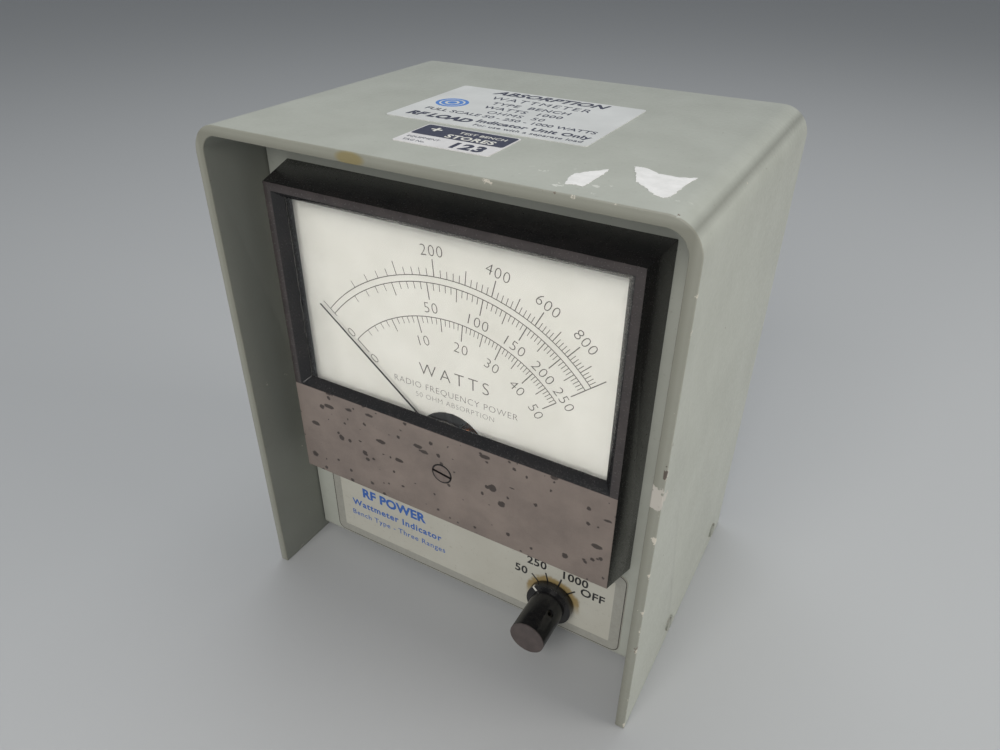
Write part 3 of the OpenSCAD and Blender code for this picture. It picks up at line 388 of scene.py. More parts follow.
CAPITAL = 0.73    # share of the letter size that a capital takes
INK = 0.02 * MM   # thickness of a printed film
LIFT = 0.01 * MM  # what keeps a printed film off its plate
STAND = Matrix.Rotation(math.pi / 2, 4, "X")


def words(text, height, place, weight=0.0, spacing=1.0, lean=0.0):
    """A line of print as a flat mesh, capitals the given height, its middle put in a place."""
    bpy.ops.object.select_all(action="DESELECT")
    bpy.ops.object.text_add()
    line = bpy.context.object
    line.data.body = text
    line.data.resolution_u = 3
    line.data.offset = weight
    line.data.space_character = spacing
    line.data.shear = lean
    raw_half = 0.01
    line.data.extrude = raw_half
    bpy.ops.object.convert(target="MESH")
    line = bpy.context.object
    scale = height / CAPITAL
    line.data.transform(Matrix.Diagonal((scale, scale, INK / (2 * raw_half), 1)))
    xs = [v.co.x for v in line.data.vertices]
    line.data.transform(Matrix.Translation((-(min(xs) + max(xs)) / 2, -height / 2, INK / 2)))
    line.data.transform(place)
    return line


def gather(name, lines, material, body):
    """Joins lines of print into one piece, with its finish and its body."""
    bpy.ops.object.select_all(action="DESELECT")
    for line in lines:
        line.select_set(True)
    bpy.context.view_layer.objects.active = lines[0]
    bpy.ops.object.join()
    piece = bpy.context.object
    piece.name = piece.data.name = name
    piece.data.materials.clear()
    piece.data.materials.append(material)
    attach(piece, body)


def on_front(x, z, y, turn=0.0):
    """A place for print on a face towards -Y, at x and z, turned clockwise."""
    return Matrix.Translation((x, y - LIFT, z)) @ Matrix.Rotation(turn, 4, "Y") @ STAND


legend_y = plate_low.y
tick_half, tick_from, tick_to = 0.28 * MM, 7.3 * MM, 11.3 * MM
black_ink = ink("black_ink", (0.012, 0.012, 0.014, 1), (0.03, 0.03, 0.03, 1))
lines = []
for text, x, z in (("50", 22.2, 24.5), ("250", 27.9, 30.2), ("1000", 42.1, 29.7),
                   ("OFF", 48.4, 25.6)):
    lines.append(words(text, 3.5 * MM, on_front(x * MM, z * MM, legend_y), 0.022, 1.04))
tick = block("tick", (-tick_half, -INK, tick_from), (tick_half, 0, tick_to))
for turn in (-45, -15, 15, 45):
    mark = tick.copy()
    mark.data = tick.data.copy()
    mark.data.transform(Matrix.Translation((switch_x, legend_y - LIFT, switch_z))
                        @ Matrix.Rotation(math.radians(turn), 4, "Y"))
    bpy.context.collection.objects.link(mark)
    lines.append(mark)
bpy.data.objects.remove(tick)
gather("legend_figures", lines, black_ink, "housing")

blue_ink = ink("blue_ink", (0.030, 0.110, 0.400, 1), (0.05, 0.15, 0.46, 1))
lines = []
for text, tall, weight, x, z, spacing in (
        ("RF POWER", 4.2, 0.040, -31.0, 28.2, 1.02),
        ("Wattmeter Indicator", 3.0, 0.026, -30.5, 21.9, 1.14),
        ("Bench Type - Three Ranges", 2.5, 0.004, -30.0, 16.5, 1.1)):
    lines.append(words(text, tall * MM, on_front(x * MM, z * MM, legend_y), weight, spacing))
gather("legend_words", lines, blue_ink, "housing")

# the grey border is a ring round the light field; the dark line round the plate's edge is painted
# shadow of that edge
border_grey = ink("border_grey", (0.355, 0.352, 0.315, 1), (0.31, 0.305, 0.27, 1), 0.4)
painted_edge_shadow = ink("painted_edge_shadow", (0.055, 0.05, 0.045, 1), (0.10, 0.09, 0.08, 1), 0.5)


def printed_panel(name, low, high, radius, y, depth=INK):
    """A flat printed rectangle with rounded corners."""
    panel = block(name, (low[0], y - LIFT - depth, low[1]), (high[0], y - LIFT, high[1]))
    bpy.ops.object.mode_set(mode="EDIT")
    pick(panel, "EDGE", lambda c, d: abs(d.y) > 0.9)
    bpy.ops.mesh.bevel(offset=radius, segments=6, affect="EDGES")
    bpy.ops.object.mode_set(mode="OBJECT")
    return panel


def printed_ring(name, inset, width, radius, inner_radius):
    """A printed ring that follows the edge of the legend plate."""
    corners = []
    for margin in (inset, inset + width):
        corners.append(((plate_low.x + margin, plate_low.z + margin),
                        (plate_high.x - margin, plate_high.z - margin)))
    ring = printed_panel(name, *corners[0], radius, legend_y)
    drill(ring, printed_panel("field", *corners[1], inner_radius, legend_y + 0.2 * MM, MM))
    return ring


# the first ring is the painted shadow of the plate's edge, the second the printed grey border
for name, inset, width, radius, inner_radius, colour in (
        ("legend_edge_line", 0.1, 0.35, 2.9, 2.6, painted_edge_shadow),
        ("legend_border", 0.45, 3.4, 2.5, 0.4, border_grey)):
    ring = printed_ring(name, inset * MM, width * MM, radius * MM, inner_radius * MM)
    ring.data.materials.append(colour)
    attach(ring, "housing")


# ---- Range switch ----
# A rotary wafer switch behind the panel: zinc-plated housing, steel shaft, sprung detent
# wheel, and a brown laminate wafer with silvered clips round a moulded rotor.
def metal(name, base, shade, roughness, size=300.0, bump=0.25, grain=(1, 1, 1)):
    """Bare or plated metal: tarnish in clouds, and tool marks along one axis."""
    made, tree, skin, height = finish(name, roughness, 1.0, bump)
    film = film_of(tree, base, shade, size, 0.7)
    turned = add(tree, "ShaderNodeMapping",
                 {"Vector": add(tree, "ShaderNodeTexCoord").outputs["Object"], "Scale": grain})
    marks = clouds(tree, 1800.0, 3.0, 0.6, turned.outputs[0])
    lay(tree, skin, height, {"Color": film["Color"], "Grain": marks}, None,
        (roughness - 0.08, roughness + 0.12))
    return made


def moulding(name, base, shade, roughness, coat=0.0):
    """Moulded or laminated plastic: slight clouding and a fine skin."""
    made, tree, skin, height = finish(name, roughness, bump=0.2, Coat_Weight=coat)
    lay(tree, skin, height, film_of(tree, base, shade, 250.0, 0.8), None,
        (roughness - 0.05, roughness + 0.1))
    return made


zinc = metal("zinc_plate", (0.62, 0.62, 0.60, 1), (0.42, 0.42, 0.40, 1), 0.34)
steel = metal("bright_steel", (0.66, 0.66, 0.67, 1), (0.50, 0.50, 0.50, 1), 0.22, grain=(1, 0.1, 1))
nickel = metal("nickel_plate", (0.64, 0.60, 0.54, 1), (0.46, 0.43, 0.38, 1), 0.2)
silver = metal("silver_plate", (0.72, 0.70, 0.64, 1), (0.36, 0.33, 0.27, 1), 0.3)
laminate = moulding("paper_laminate", (0.24, 0.12, 0.045, 1), (0.16, 0.08, 0.03, 1), 0.42, coat=0.3)
rotor_body = moulding("rotor_moulding", (0.60, 0.52, 0.34, 1), (0.50, 0.42, 0.26, 1), 0.4)
clothe(zinc, "switch_bushing", "switch_spacers", "switch_washer", "mounting_washers")
clothe(steel, "switch_shaft", "switch_tie_screws", "detent_spring", "detent_wheel")
clothe(nickel, "switch_nut")
clothe(silver, "wafer_contacts")
clothe(laminate, "switch_wafer")
clothe(rotor_body, "wafer_rotor")

# ---- Range knob ----
# Turned phenolic knob: glossy barrel on a flared skirt, dull rubbed front face, a hollow
# back over the panel nut, a set screw in its side and a white index let into the skirt.
knob_low, knob_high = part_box("range_knob")
barrel_r, skirt_r, skirt_h = 6 * MM, 8.1 * MM, 2.7 * MM
face_rim, face_sunk = 0.9 * MM, 0.12 * MM
back_rim, back_hollow = 1.6 * MM, 2.4 * MM
hole_r, hole_y, hole_deep = 1.3 * MM, knob_low.y + 9.2 * MM, 9 * MM
index_at = -45             # degrees from upright, at the mark of the lowest range
hole_at = index_at + 85    # the set screw sits a little under a quarter turn on
skirt_front = knob_high.y - skirt_h
knob = round_bar("range_knob_turned", barrel_r, (switch_x, knob_low.y, switch_z),
                 (switch_x, skirt_front, switch_z), 96)
bpy.ops.object.mode_set(mode="EDIT")
pick(knob, "FACE", lambda c, n: n.y < -0.9)
bpy.ops.mesh.inset(thickness=face_rim)
bpy.ops.transform.translate(value=(0, face_sunk, 0))
pick(knob, "FACE", lambda c, n: n.y > 0.9)
bpy.ops.mesh.extrude_region_move(TRANSFORM_OT_translate={"value": (0, 0.0, 0)})
bpy.ops.transform.resize(value=(skirt_r / barrel_r, 1, skirt_r / barrel_r),
                         center_override=(switch_x, skirt_front, switch_z))
bpy.ops.mesh.extrude_region_move(TRANSFORM_OT_translate={"value": (0, skirt_h, 0)})
bpy.ops.mesh.inset(thickness=back_rim)
bpy.ops.mesh.extrude_region_move(TRANSFORM_OT_translate={"value": (0, -back_hollow, 0)})
bpy.ops.object.mode_set(mode="OBJECT")
screw_hole = round_bar("screw_hole", hole_r, (0, 0, 0), (0, hole_deep, 0), 32)
screw_hole.data.transform(Matrix.Translation((switch_x, hole_y, switch_z))
                          @ Matrix.Rotation(math.radians(hole_at), 4, "Y")
                          @ Matrix.Rotation(math.pi / 2, 4, "X"))
drill(knob, screw_hole)
ease(knob, 0.35 * MM, 3, 50)
knob_gloss, tree, skin, height = finish("knob_phenolic", 0.16, bump=0.12)
face = ramp(tree, own_axes(tree)["Y"], knob_low.y + 0.45 * MM, knob_low.y + 0.25 * MM)
film = film_of(tree, (0.010, 0.010, 0.011, 1), (0.020, 0.019, 0.018, 1), 500.0, 0.7)
rubbed = film_of(tree, (0.090, 0.072, 0.068, 1), (0.062, 0.050, 0.048, 1), 300.0, 0.9)
lay(tree, skin, height, film, over(tree, face, film["Color"], rubbed["Color"]))
tree.links.new(sum_of(tree, "ADD", ramp(tree, film["Grain"], 0.3, 0.7, 0.12, 0.28),
                      times(tree, face, 0.42)), skin.inputs["Roughness"])
knob.data.materials.append(knob_gloss)
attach(knob, "range_knob")
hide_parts("range_knob")

index = block("knob_index", (-0.4 * MM, skirt_front - 0.05 * MM, 6.3 * MM),
              (0.4 * MM, skirt_front + 0.9 * MM, 8.15 * MM))
index.data.transform(Matrix.Translation((switch_x, 0, switch_z))
                     @ Matrix.Rotation(math.radians(index_at), 4, "Y"))
ease(index, 0.05 * MM)
white_ink = ink("white_ink", (0.78, 0.77, 0.72, 1), (0.62, 0.60, 0.54, 1))
index.data.materials.append(white_ink)
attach(index, "range_knob")
black_steel = metal("black_steel", (0.05, 0.05, 0.05, 1), (0.10, 0.09, 0.08, 1), 0.4)
clothe(black_steel, "knob_set_screw")

# ---- Meter base ----
# Moulded black base with a round can behind the panel, held by four studs with washers and
# hexagon nuts. Two brass terminals with solder lugs stand in the can's back.
base_plastic = moulding("base_moulding", (0.018, 0.016, 0.016, 1), (0.030, 0.027, 0.026, 1), 0.35)
brass = metal("brass", (0.62, 0.44, 0.17, 1), (0.40, 0.28, 0.12, 1), 0.3)
tinned = metal("tinned_brass", (0.66, 0.65, 0.60, 1), (0.46, 0.44, 0.38, 1), 0.35)
clothe(base_plastic, "meter_base")
clothe(brass, "mounting_studs", "mounting_nuts", "meter_terminals", "terminal_nuts", "dial_posts",
       "core_holder", "rear_bridge", "zero_lever", "jewel_screws", "pillar_nuts")
clothe(tinned, "solder_lugs")

# ---- Movement ----
# Ring magnet with soft-iron poles and core. An aluminium former wound with enamelled copper
# turns in the gap on steel pivots, fed and centred by two flat bronze hairsprings.
magnet = metal("magnet_alloy", (0.17, 0.17, 0.18, 1), (0.10, 0.10, 0.11, 1), 0.55, 200.0, 0.6)
soft_iron = metal("soft_iron", (0.40, 0.40, 0.41, 1), (0.26, 0.25, 0.24, 1), 0.36)
copper = metal("enamelled_copper", (0.50, 0.16, 0.05, 1), (0.34, 0.10, 0.03, 1), 0.25,
               grain=(1, 1, 14), bump=0.8)
aluminium = metal("aluminium", (0.70, 0.71, 0.73, 1), (0.54, 0.55, 0.56, 1), 0.28)
bronze = metal("spring_bronze", (0.60, 0.38, 0.15, 1), (0.45, 0.27, 0.10, 1), 0.25)
clothe(magnet, "magnet_ring")
clothe(soft_iron, "pole_pieces", "iron_core")
clothe(copper, "coil_winding")
clothe(aluminium, "coil_former")
clothe(bronze, "front_hairspring", "rear_hairspring")
clothe(zinc, "movement_pillars", "zero_screw_clip", "dial_screws", "bridge_screws")
clothe(steel, "coil_pivots")
dark_bridge = moulding("bridge_black", (0.020, 0.017, 0.016, 1), (0.045, 0.036, 0.030, 1), 0.5)
clothe(dark_bridge, "front_bridge")

# ---- Dial ----
# Off-white enamelled plate with three watt scales printed in thin dark lines about the
# pivot: 0 to 1000 and 0 to 250 on one double arc, and 0 to 50 on a smaller arc below.
dial_low, dial_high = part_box("dial_plate")
dial_y = dial_low.y
pivot_z = 72.2 * MM
half_sweep = math.radians(50)
dial_enamel, tree, skin, height = finish("dial_enamel", 0.55, bump=0.08)
film = film_of(tree, (0.705, 0.688, 0.650, 1), (0.635, 0.615, 0.570, 1), 28.0, 0.6)
specks = times(tree, mask_of(tree, 500.0, 0.08), 0.3)
base = over(tree, specks, film["Color"], (0.42, 0.36, 0.27, 1))
axes = own_axes(tree)
# painted shadow: the dial darker in bands along its left and top edges, where the case rim shades
# it
left_shadow = ramp(tree, axes["X"], dial_low.x + 12 * MM, dial_low.x + 3 * MM, 0.0, 0.30)
top_shadow = ramp(tree, axes["Z"], dial_high.z - 10 * MM, dial_high.z, 0.0, 0.30)
painted_rim_shadow = sum_of(tree, "MAXIMUM", left_shadow, top_shadow)
lay(tree, skin, height, film, over(tree, painted_rim_shadow, base, (0.40, 0.40, 0.38, 1)))
clothe(dial_enamel, "dial_plate")
dial_ink = ink("dial_ink", (0.060, 0.052, 0.046, 1), (0.105, 0.095, 0.085, 1), 0.5)
printed = []


def arc(radius, width):
    """A printed line round the pivot, from one end of the sweep to the other."""
    line = block("arc", (-width / 2, -INK, radius - width / 2), (width / 2, 0, radius + width / 2))
    bpy.ops.object.mode_set(mode="EDIT")
    pick(line, "FACE", lambda c, n: n.x < 0.9)
    bpy.ops.mesh.delete(type="FACE")
    pick(line, "FACE", lambda c, n: True)
    bpy.ops.mesh.spin(steps=72, angle=2 * half_sweep, center=(0, 0, 0), axis=(0, 1, 0))
    bpy.ops.mesh.select_all(action="SELECT")
    bpy.ops.mesh.remove_doubles(threshold=1e-7)
    bpy.ops.mesh.normals_make_consistent(inside=False)
    bpy.ops.object.mode_set(mode="OBJECT")
    xs = [math.atan2(v.co.x, v.co.z) for v in line.data.vertices]
    middle = (min(xs) + max(xs)) / 2
    line.data.transform(Matrix.Translation((0, dial_y - LIFT, pivot_z))
                        @ Matrix.Rotation(-middle, 4, "Y"))
    return line


def stroke(angle, start, end, width):
    """A printed tick on a radius of the dial."""
    mark = block("stroke", (-width / 2, -INK, start), (width / 2, 0, end))
    mark.data.transform(Matrix.Translation((0, dial_y - LIFT, pivot_z))
                        @ Matrix.Rotation(angle, 4, "Y"))
    return mark


def on_scale(share, power):
    """Angle of a reading, which crowds towards full scale as power does in a load."""
    return -half_sweep + 2 * half_sweep * share ** power


line_w = 0.26 * MM
scales = (
    # full scale, least step, power, arc radius, ends of the short, middle and long ticks,
    # steps between the middle and the long ticks, radius of the figures, the figures
    (1000, 20, 0.49, 57.0, (59.3, 61.2, 62.2), (100, 200), 64.7, (200, 400, 600, 800)),
    (250, 5, 0.53, 55.0, (52.8, 51.0, 49.8), (25, 50), 47.4, (0, 50, 100, 150, 200, 250)),
    (50, 1, 0.64, 44.4, (42.3, 40.2, 39.1), (5, 10), 36.7, (0, 10, 20, 30, 40, 50)),
)
for full, step, power, radius, ends, majors, label_r, labels in scales:
    printed.append(arc(radius * MM, line_w))
    for reading in range(0, full + 1, step):
        rank = (reading % majors[0] == 0) + (reading % majors[1] == 0)
        if reading == 0 and full != 50:
            continue
        printed.append(stroke(on_scale(reading / full, power), radius * MM, ends[rank] * MM,
                              (0.20 + 0.05 * rank) * MM))
    for reading in labels:
        angle = on_scale(reading / full, power)
        x, z = label_r * MM * math.sin(angle), pivot_z + label_r * MM * math.cos(angle)
        printed.append(words(str(reading), 3.5 * MM, on_front(x, z, dial_y, angle), -0.017, 1.1))
for angle in (-half_sweep, half_sweep):
    printed.append(stroke(angle, 54.0 * MM, 60.2 * MM, line_w))
for text, tall, z, weight, spacing in (("WATTS", 4.4, 97.8, -0.016, 1.35),
                                       ("RADIO FREQUENCY POWER", 2.3, 91.4, -0.02, 1.1),
                                       ("50 OHM ABSORPTION", 1.9, 87.9, -0.024, 1.1)):
    printed.append(words(text, tall * MM, on_front(0.8 * MM, z * MM, dial_y), weight, spacing))
gather("dial_print", printed, dial_ink, "housing")

# ---- Pointer ----
# Thin lacquered blade with a balance weight behind the pivot, black to read against the dial.
lacquer = metal("pointer_lacquer", (0.022, 0.020, 0.020, 1), (0.045, 0.040, 0.038, 1), 0.45)
clothe(lacquer, "pointer")

# ---- Meter case ----
# Phenolic front moulding: glossy black sides, a bevelled window, and a deep apron whose
# moulded skin has dulled to brown-grey, pitted with dark spots where the old skin is left.
case_low, case_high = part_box("meter_case")
front_half = Vector((113.5, 102.1)) * MM / 2
back_half = Vector((118.3, 107.5)) * MM / 2
case_z = 97.65 * MM
window_x, window_low, window_top = 54.35 * MM, 81.3 * MM, 146.3 * MM
bevel_in, bevel_side, lip, wall = 2.9 * MM, 2.4 * MM, 0.8 * MM, 2.4 * MM
near = 1e-6
case_front = case_low.y
case = block("meter_case_moulding", (-back_half.x, case_front, case_z - back_half.y),
             (back_half.x, case_high.y, case_z + back_half.y))
bpy.ops.object.mode_set(mode="EDIT")
pick(case, "FACE", lambda c, n: n.y < -0.9)
bpy.ops.transform.resize(value=(front_half.x / back_half.x, 1, front_half.y / back_half.y),
                         center_override=(0, case_front, case_z))
pick(case, "FACE", lambda c, n: n.y > 0.9)
bpy.ops.mesh.delete(type="FACE")
for place, normal in (((-window_x, 0, 0), (1, 0, 0)), ((window_x, 0, 0), (1, 0, 0)),
                      ((0, 0, window_low), (0, 0, 1)), ((0, 0, window_top), (0, 0, 1))):
    pick(case, "FACE", lambda c, n: n.y < -0.9)
    bpy.ops.mesh.bisect(plane_co=place, plane_no=normal)
window_mid = (window_low + window_top) / 2
pick(case, "FACE", lambda c, n: n.y < -0.9 and abs(c.x) < window_x - MM
     and window_low < c.z < window_top)
bpy.ops.mesh.extrude_region_move(TRANSFORM_OT_translate={"value": (0, bevel_in, 0)})
window_half = (window_top - window_low) / 2
bpy.ops.transform.resize(value=(1 - bevel_side / window_x, 1, 1 - bevel_side / window_half),
                         center_override=(0, case_front + bevel_in, window_mid))
bpy.ops.mesh.extrude_region_move(TRANSFORM_OT_translate={"value": (0, lip, 0)})
inner_x = front_half.x - wall
bpy.ops.mesh.extrude_region_move(TRANSFORM_OT_translate={"value": (0, 0, 0)})
bpy.ops.transform.resize(value=(inner_x / (window_x - bevel_side), 1, 1.0),
                         center_override=(0, case_front, window_mid))
bpy.ops.object.mode_set(mode="OBJECT")
seat = case_front + bevel_in + lip
inner_top = case_z + front_half.y - wall
inner_low = case_z - front_half.y + wall
for vertex in case.data.vertices:
    if abs(vertex.co.y - seat) < near and abs(abs(vertex.co.x) - inner_x) < near:
        vertex.co.z = inner_top if vertex.co.z > window_mid else inner_low
bpy.ops.object.mode_set(mode="EDIT")
pick(case, "FACE", lambda c, n: abs(c.y - seat) < near and abs(c.x) < MM and n.y < -0.9)
bpy.ops.mesh.extrude_region_move(TRANSFORM_OT_translate={"value": (0, case_high.y - seat, 0)})
bpy.ops.transform.resize(value=((back_half.x - wall) / inner_x, 1, 1),
                         center_override=(0, case_high.y, case_z))
bpy.ops.mesh.delete(type="FACE")
shape = bmesh.from_edit_mesh(case.data)
bpy.ops.mesh.select_mode(type="EDGE")
bpy.ops.mesh.select_all(action="DESELECT")
for rim in shape.edges:
    rim.select_set(rim.is_boundary)
bmesh.update_edit_mesh(case.data)
bpy.ops.mesh.bridge_edge_loops()
bpy.ops.mesh.select_all(action="SELECT")
bpy.ops.mesh.normals_make_consistent(inside=False)
bpy.ops.object.mode_set(mode="OBJECT")
zero_z = 66.1 * MM
drill(case, round_bar("bore", 3.56 * MM, (0, case_front - 2 * MM, zero_z),
                      (0, case_front + 6 * MM, zero_z), 64))
ease(case, 0.22 * MM, 2, 20)

bakelite, tree, skin, height = finish("bakelite", 0.2, bump=0.35, bump_depth=0.00003)
spot = add(tree, "ShaderNodeTexCoord").outputs["Object"]
axes = add(tree, "ShaderNodeSeparateXYZ", {0: spot}).outputs
face = ramp(tree, axes["Y"], case_front + 0.16 * MM, case_front + 0.04 * MM)
apron = ramp(tree, axes["Z"], window_low + 0.1 * MM, window_low - 0.1 * MM)
gloss = film_of(tree, (0.009, 0.009, 0.010, 1), (0.018, 0.016, 0.016, 1), 120.0, 0.8)
dull = film_of(tree, (0.240, 0.196, 0.170, 1), (0.175, 0.142, 0.125, 1), 70.0, 0.8)
rim = film_of(tree, (0.055, 0.046, 0.045, 1), (0.034, 0.029, 0.029, 1), 160.0, 0.8)
spots = 0.0
for size, reach, stretch in ((165.0, 0.25, (1, 1, 1)), (360.0, 0.32, (1, 1, 1)),
                             (210.0, 0.24, (0.55, 1, 1.2))):
    # drops of old skin: round cells, each with a size of its own, and most of them empty
    turned = add(tree, "ShaderNodeMapping", {"Vector": spot, "Scale": stretch,
                                             "Rotation": (0, math.radians(35), 0)}).outputs[0]
    ragged = add(tree, "ShaderNodeTexNoise", {"Vector": turned, "Scale": 900.0, "Detail": 2.0})
    shifted = add(tree, "ShaderNodeVectorMath", {0: ragged.outputs[1], 1: (0.0009, 0.0009, 0.0009)},
                  operation="MULTIPLY").outputs[0]
    shifted = add(tree, "ShaderNodeVectorMath", {0: turned, 1: shifted}, operation="ADD").outputs[0]
    cells = add(tree, "ShaderNodeTexVoronoi", {"Vector": shifted, "Scale": size})
    chance = add(tree, "ShaderNodeSeparateColor", {0: cells.outputs["Color"]}).outputs
    radius = ramp(tree, chance[0], 0.45, 1.0, 0.02, reach)
    drop = sum_of(tree, "SUBTRACT", radius, cells.outputs["Distance"])
    spots = sum_of(tree, "MAXIMUM", spots, ramp(tree, drop, 0.0, 0.03))
spots = times(tree, spots, 0.88)
flat = over(tree, spots, dull["Color"], (0.030, 0.022, 0.019, 1))
flat = over(tree, apron, rim["Color"], flat)
tree.links.new(over(tree, face, gloss["Color"], flat), skin.inputs["Base Color"])
face_spots = times(tree, spots, face)
sheen = sum_of(tree, "ADD", ramp(tree, gloss["Grain"], 0.3, 0.7, 0.14, 0.30),
               times(tree, times(tree, face, apron), 0.27))
sheen = sum_of(tree, "SUBTRACT", sheen, times(tree, face_spots, 0.15))
tree.links.new(sheen, skin.inputs["Roughness"])
tree.links.new(sum_of(tree, "ADD", dull["Grain"], times(tree, face_spots, 1.5)), height)
case.data.materials.append(bakelite)
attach(case, "housing")
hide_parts("meter_case")

# ---- Zero screw ----
# Slotted phenolic screw in the apron, dulled like it, black in its slot; a black ring round its
# edge is painted shade of the gap round it.
zero_skin, tree, skin, height = finish("zero_screw_phenolic", 0.5, bump=0.3)
axes = own_axes(tree)
film = film_of(tree, (0.205, 0.165, 0.145, 1), (0.13, 0.10, 0.09, 1), 400.0, 0.8)
# painted shade: black round the edge of the front face, for the shadowed gap round the screw
worn = times(tree, ramp(tree, far_from(tree, axes, 0.0, zero_z), 3.15 * MM, 3.0 * MM),
             ramp(tree, axes["Y"], case_front + 0.15 * MM, case_front + 0.05 * MM))
lay(tree, skin, height, film, over(tree, worn, (0.010, 0.009, 0.009, 1), film["Color"]))
clothe(zero_skin, "zero_screw")

# ---- Window glass ----
# Flat clear glass in the rebate behind the bevel, a little dusty.
pane = bpy.data.materials.new("window_glass")
pane.use_nodes = True
tree = pane.node_tree
clear = tree.nodes["Principled BSDF"]
clear.inputs["Transmission Weight"].default_value = 1.0
clear.inputs["IOR"].default_value = 1.5
clear.inputs["Base Color"].default_value = (0.97, 0.985, 0.98, 1)
dust = film_of(tree, (0.975, 0.985, 0.98, 1), (0.94, 0.95, 0.94, 1), 90.0, 1.0)
tree.links.new(dust["Color"], clear.inputs["Base Color"])
tree.links.new(ramp(tree, dust["Grain"], 0.3, 0.8, 0.0, 0.05), clear.inputs["Roughness"])
through = add(tree, "ShaderNodeBsdfTransparent", {"Color": (0.95, 0.96, 0.955, 1)})
light_path = tree.nodes.new("ShaderNodeLightPath")
lets_light = add(tree, "ShaderNodeMixShader", {0: light_path.outputs["Is Shadow Ray"],
                                               1: clear.outputs[0], 2: through.outputs[0]})
tree.links.new(lets_light.outputs[0], tree.nodes["Material Output"].inputs["Surface"])
clothe(pane, "window_glass")


# ---- Nameplate and inventory tag ----
# Satin foil labels stuck to the top, printed in dark blue-black. Beside them lie white
# remains of two torn-off stickers.
def label_stock(name, base, shade, size, amount, roughness, metallic=0.0, bump=0.2,
                bump_depth=0.00002):
    """Foil or paper of a label, slightly uneven."""
    made, tree, skin, height = finish(name, roughness, metallic, bump, bump_depth)
    lay(tree, skin, height, film_of(tree, base, shade, size, amount))
    return made


top_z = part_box("nameplate_label")[1].z
foil = label_stock("label_foil", (0.72, 0.73, 0.72, 1), (0.62, 0.63, 0.62, 1), 60.0, 0.8, 0.36, 0.1)
clothe(foil, "nameplate_label")
tag_stock = label_stock("tag_foil", (0.74, 0.73, 0.73, 1), (0.64, 0.62, 0.62, 1), 120.0, 0.8, 0.4)
clothe(tag_stock, "inventory_tag")


def on_top(x, behind_front):
    """A place for print on the cover's top labels, in mm from the middle and the front rim."""
    return Matrix.Translation((x * MM, cover_low.y + behind_front * MM, top_z + LIFT))


navy_ink = ink("navy_ink", (0.018, 0.022, 0.055, 1), (0.04, 0.045, 0.08, 1))
lines = []
for text, tall, weight, x, back, spacing, lean in (
        ("ABSORPTION", 4.2, 0.032, 1.5, 71.6, 1.05, 0.25),
        ("WATTMETER", 3.5, 0.0, 1.5, 65.0, 1.2, 0.0),
        ("TYPE  BENCH", 2.8, 0.010, 1.3, 59.2, 1.1, 0.0),
        ("WATTS  1000", 2.8, 0.010, 1.4, 54.2, 1.1, 0.0),
        ("OHMS  50", 2.8, 0.0, 1.8, 49.4, 1.1, 0.0),
        ("FULL SCALE 50 - 250 - 1000 WATTS", 2.5, 0.010, 1.6, 45.0, 1.0, 0.0),
        ("RF LOAD", 3.6, 0.050, -16.0, 38.6, 1.0, 0.2),
        ("Indicator Unit Only", 2.9, 0.030, 12.0, 40.0, 1.05, 0.0),
        ("For use with a separate load", 1.9, 0.008, 12.2, 36.0, 1.05, 0.0)):
    lines.append(words(text, tall * MM, on_top(x, back), weight, spacing, lean))
gather("nameplate_print", lines, navy_ink, "housing")


def disc(name, x, behind_front, radius, bore=0.0):
    """A printed round mark, or a ring if it has a bore."""
    bpy.ops.object.select_all(action="DESELECT")
    bpy.ops.mesh.primitive_cylinder_add(vertices=48, radius=radius * MM, depth=INK)
    mark = bpy.context.object
    if bore:
        bpy.ops.object.mode_set(mode="EDIT")
        pick(mark, "FACE", lambda c, n: abs(n.z) > 0.9)
        bpy.ops.mesh.inset(thickness=(radius - bore) * MM)
        bpy.ops.mesh.bridge_edge_loops()
        bpy.ops.object.mode_set(mode="OBJECT")
    mark.data.transform(on_top(x, behind_front) @ Matrix.Translation((0, 0, INK / 2)))
    mark.matrix_world = Matrix.Identity(4)
    mark.name = name
    return mark


lines = [disc("mark", -21.6, 53.6, 4.9, 3.9), disc("mark", -21.6, 53.6, 3.3, 2.2),
         disc("mark", -21.6, 53.6, 1.4)]
round_blue = ink("mark_blue", (0.055, 0.19, 0.56, 1), (0.08, 0.24, 0.62, 1))
gather("nameplate_rings", lines, round_blue, "housing")

tag_low, tag_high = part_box("inventory_tag")
band_front, band_edge = cover_low.y + 21.0 * MM, 0.4 * MM
band = block("tag_band", (tag_low.x + band_edge, band_front, tag_high.z + LIFT),
             (tag_high.x - band_edge, tag_high.y - 0.5 * MM, tag_high.z + LIFT + INK))
bpy.ops.object.mode_set(mode="EDIT")
pick(band, "EDGE", lambda c, d: abs(d.z) > 0.9)
bpy.ops.mesh.bevel(offset=0.7 * MM, segments=4, affect="EDGES")
bpy.ops.object.mode_set(mode="OBJECT")
lines = [band, words("123", 4.4 * MM, on_top(6.4, 17.2), 0.05, 1.15),
         words("EQUIPMENT", 1.3 * MM, on_top(-7.6, 18.4)),
         words("TAG No.", 1.3 * MM, on_top(-8.6, 15.6))]
gather("tag_print", lines, navy_ink, "housing")
over_band = Matrix.Translation((0, 0, INK + LIFT))
lines = [words("TEST BENCH", 1.7 * MM, over_band @ on_top(4.6, 27.0), 0.01, 1.05),
         words("STORES", 2.8 * MM, over_band @ on_top(3.2, 23.2), 0.03, 1.1),
         words("+", 4.6 * MM, over_band @ on_top(-9.0, 26.6), 0.02)]
gather("tag_lettering", lines, white_ink, "housing")

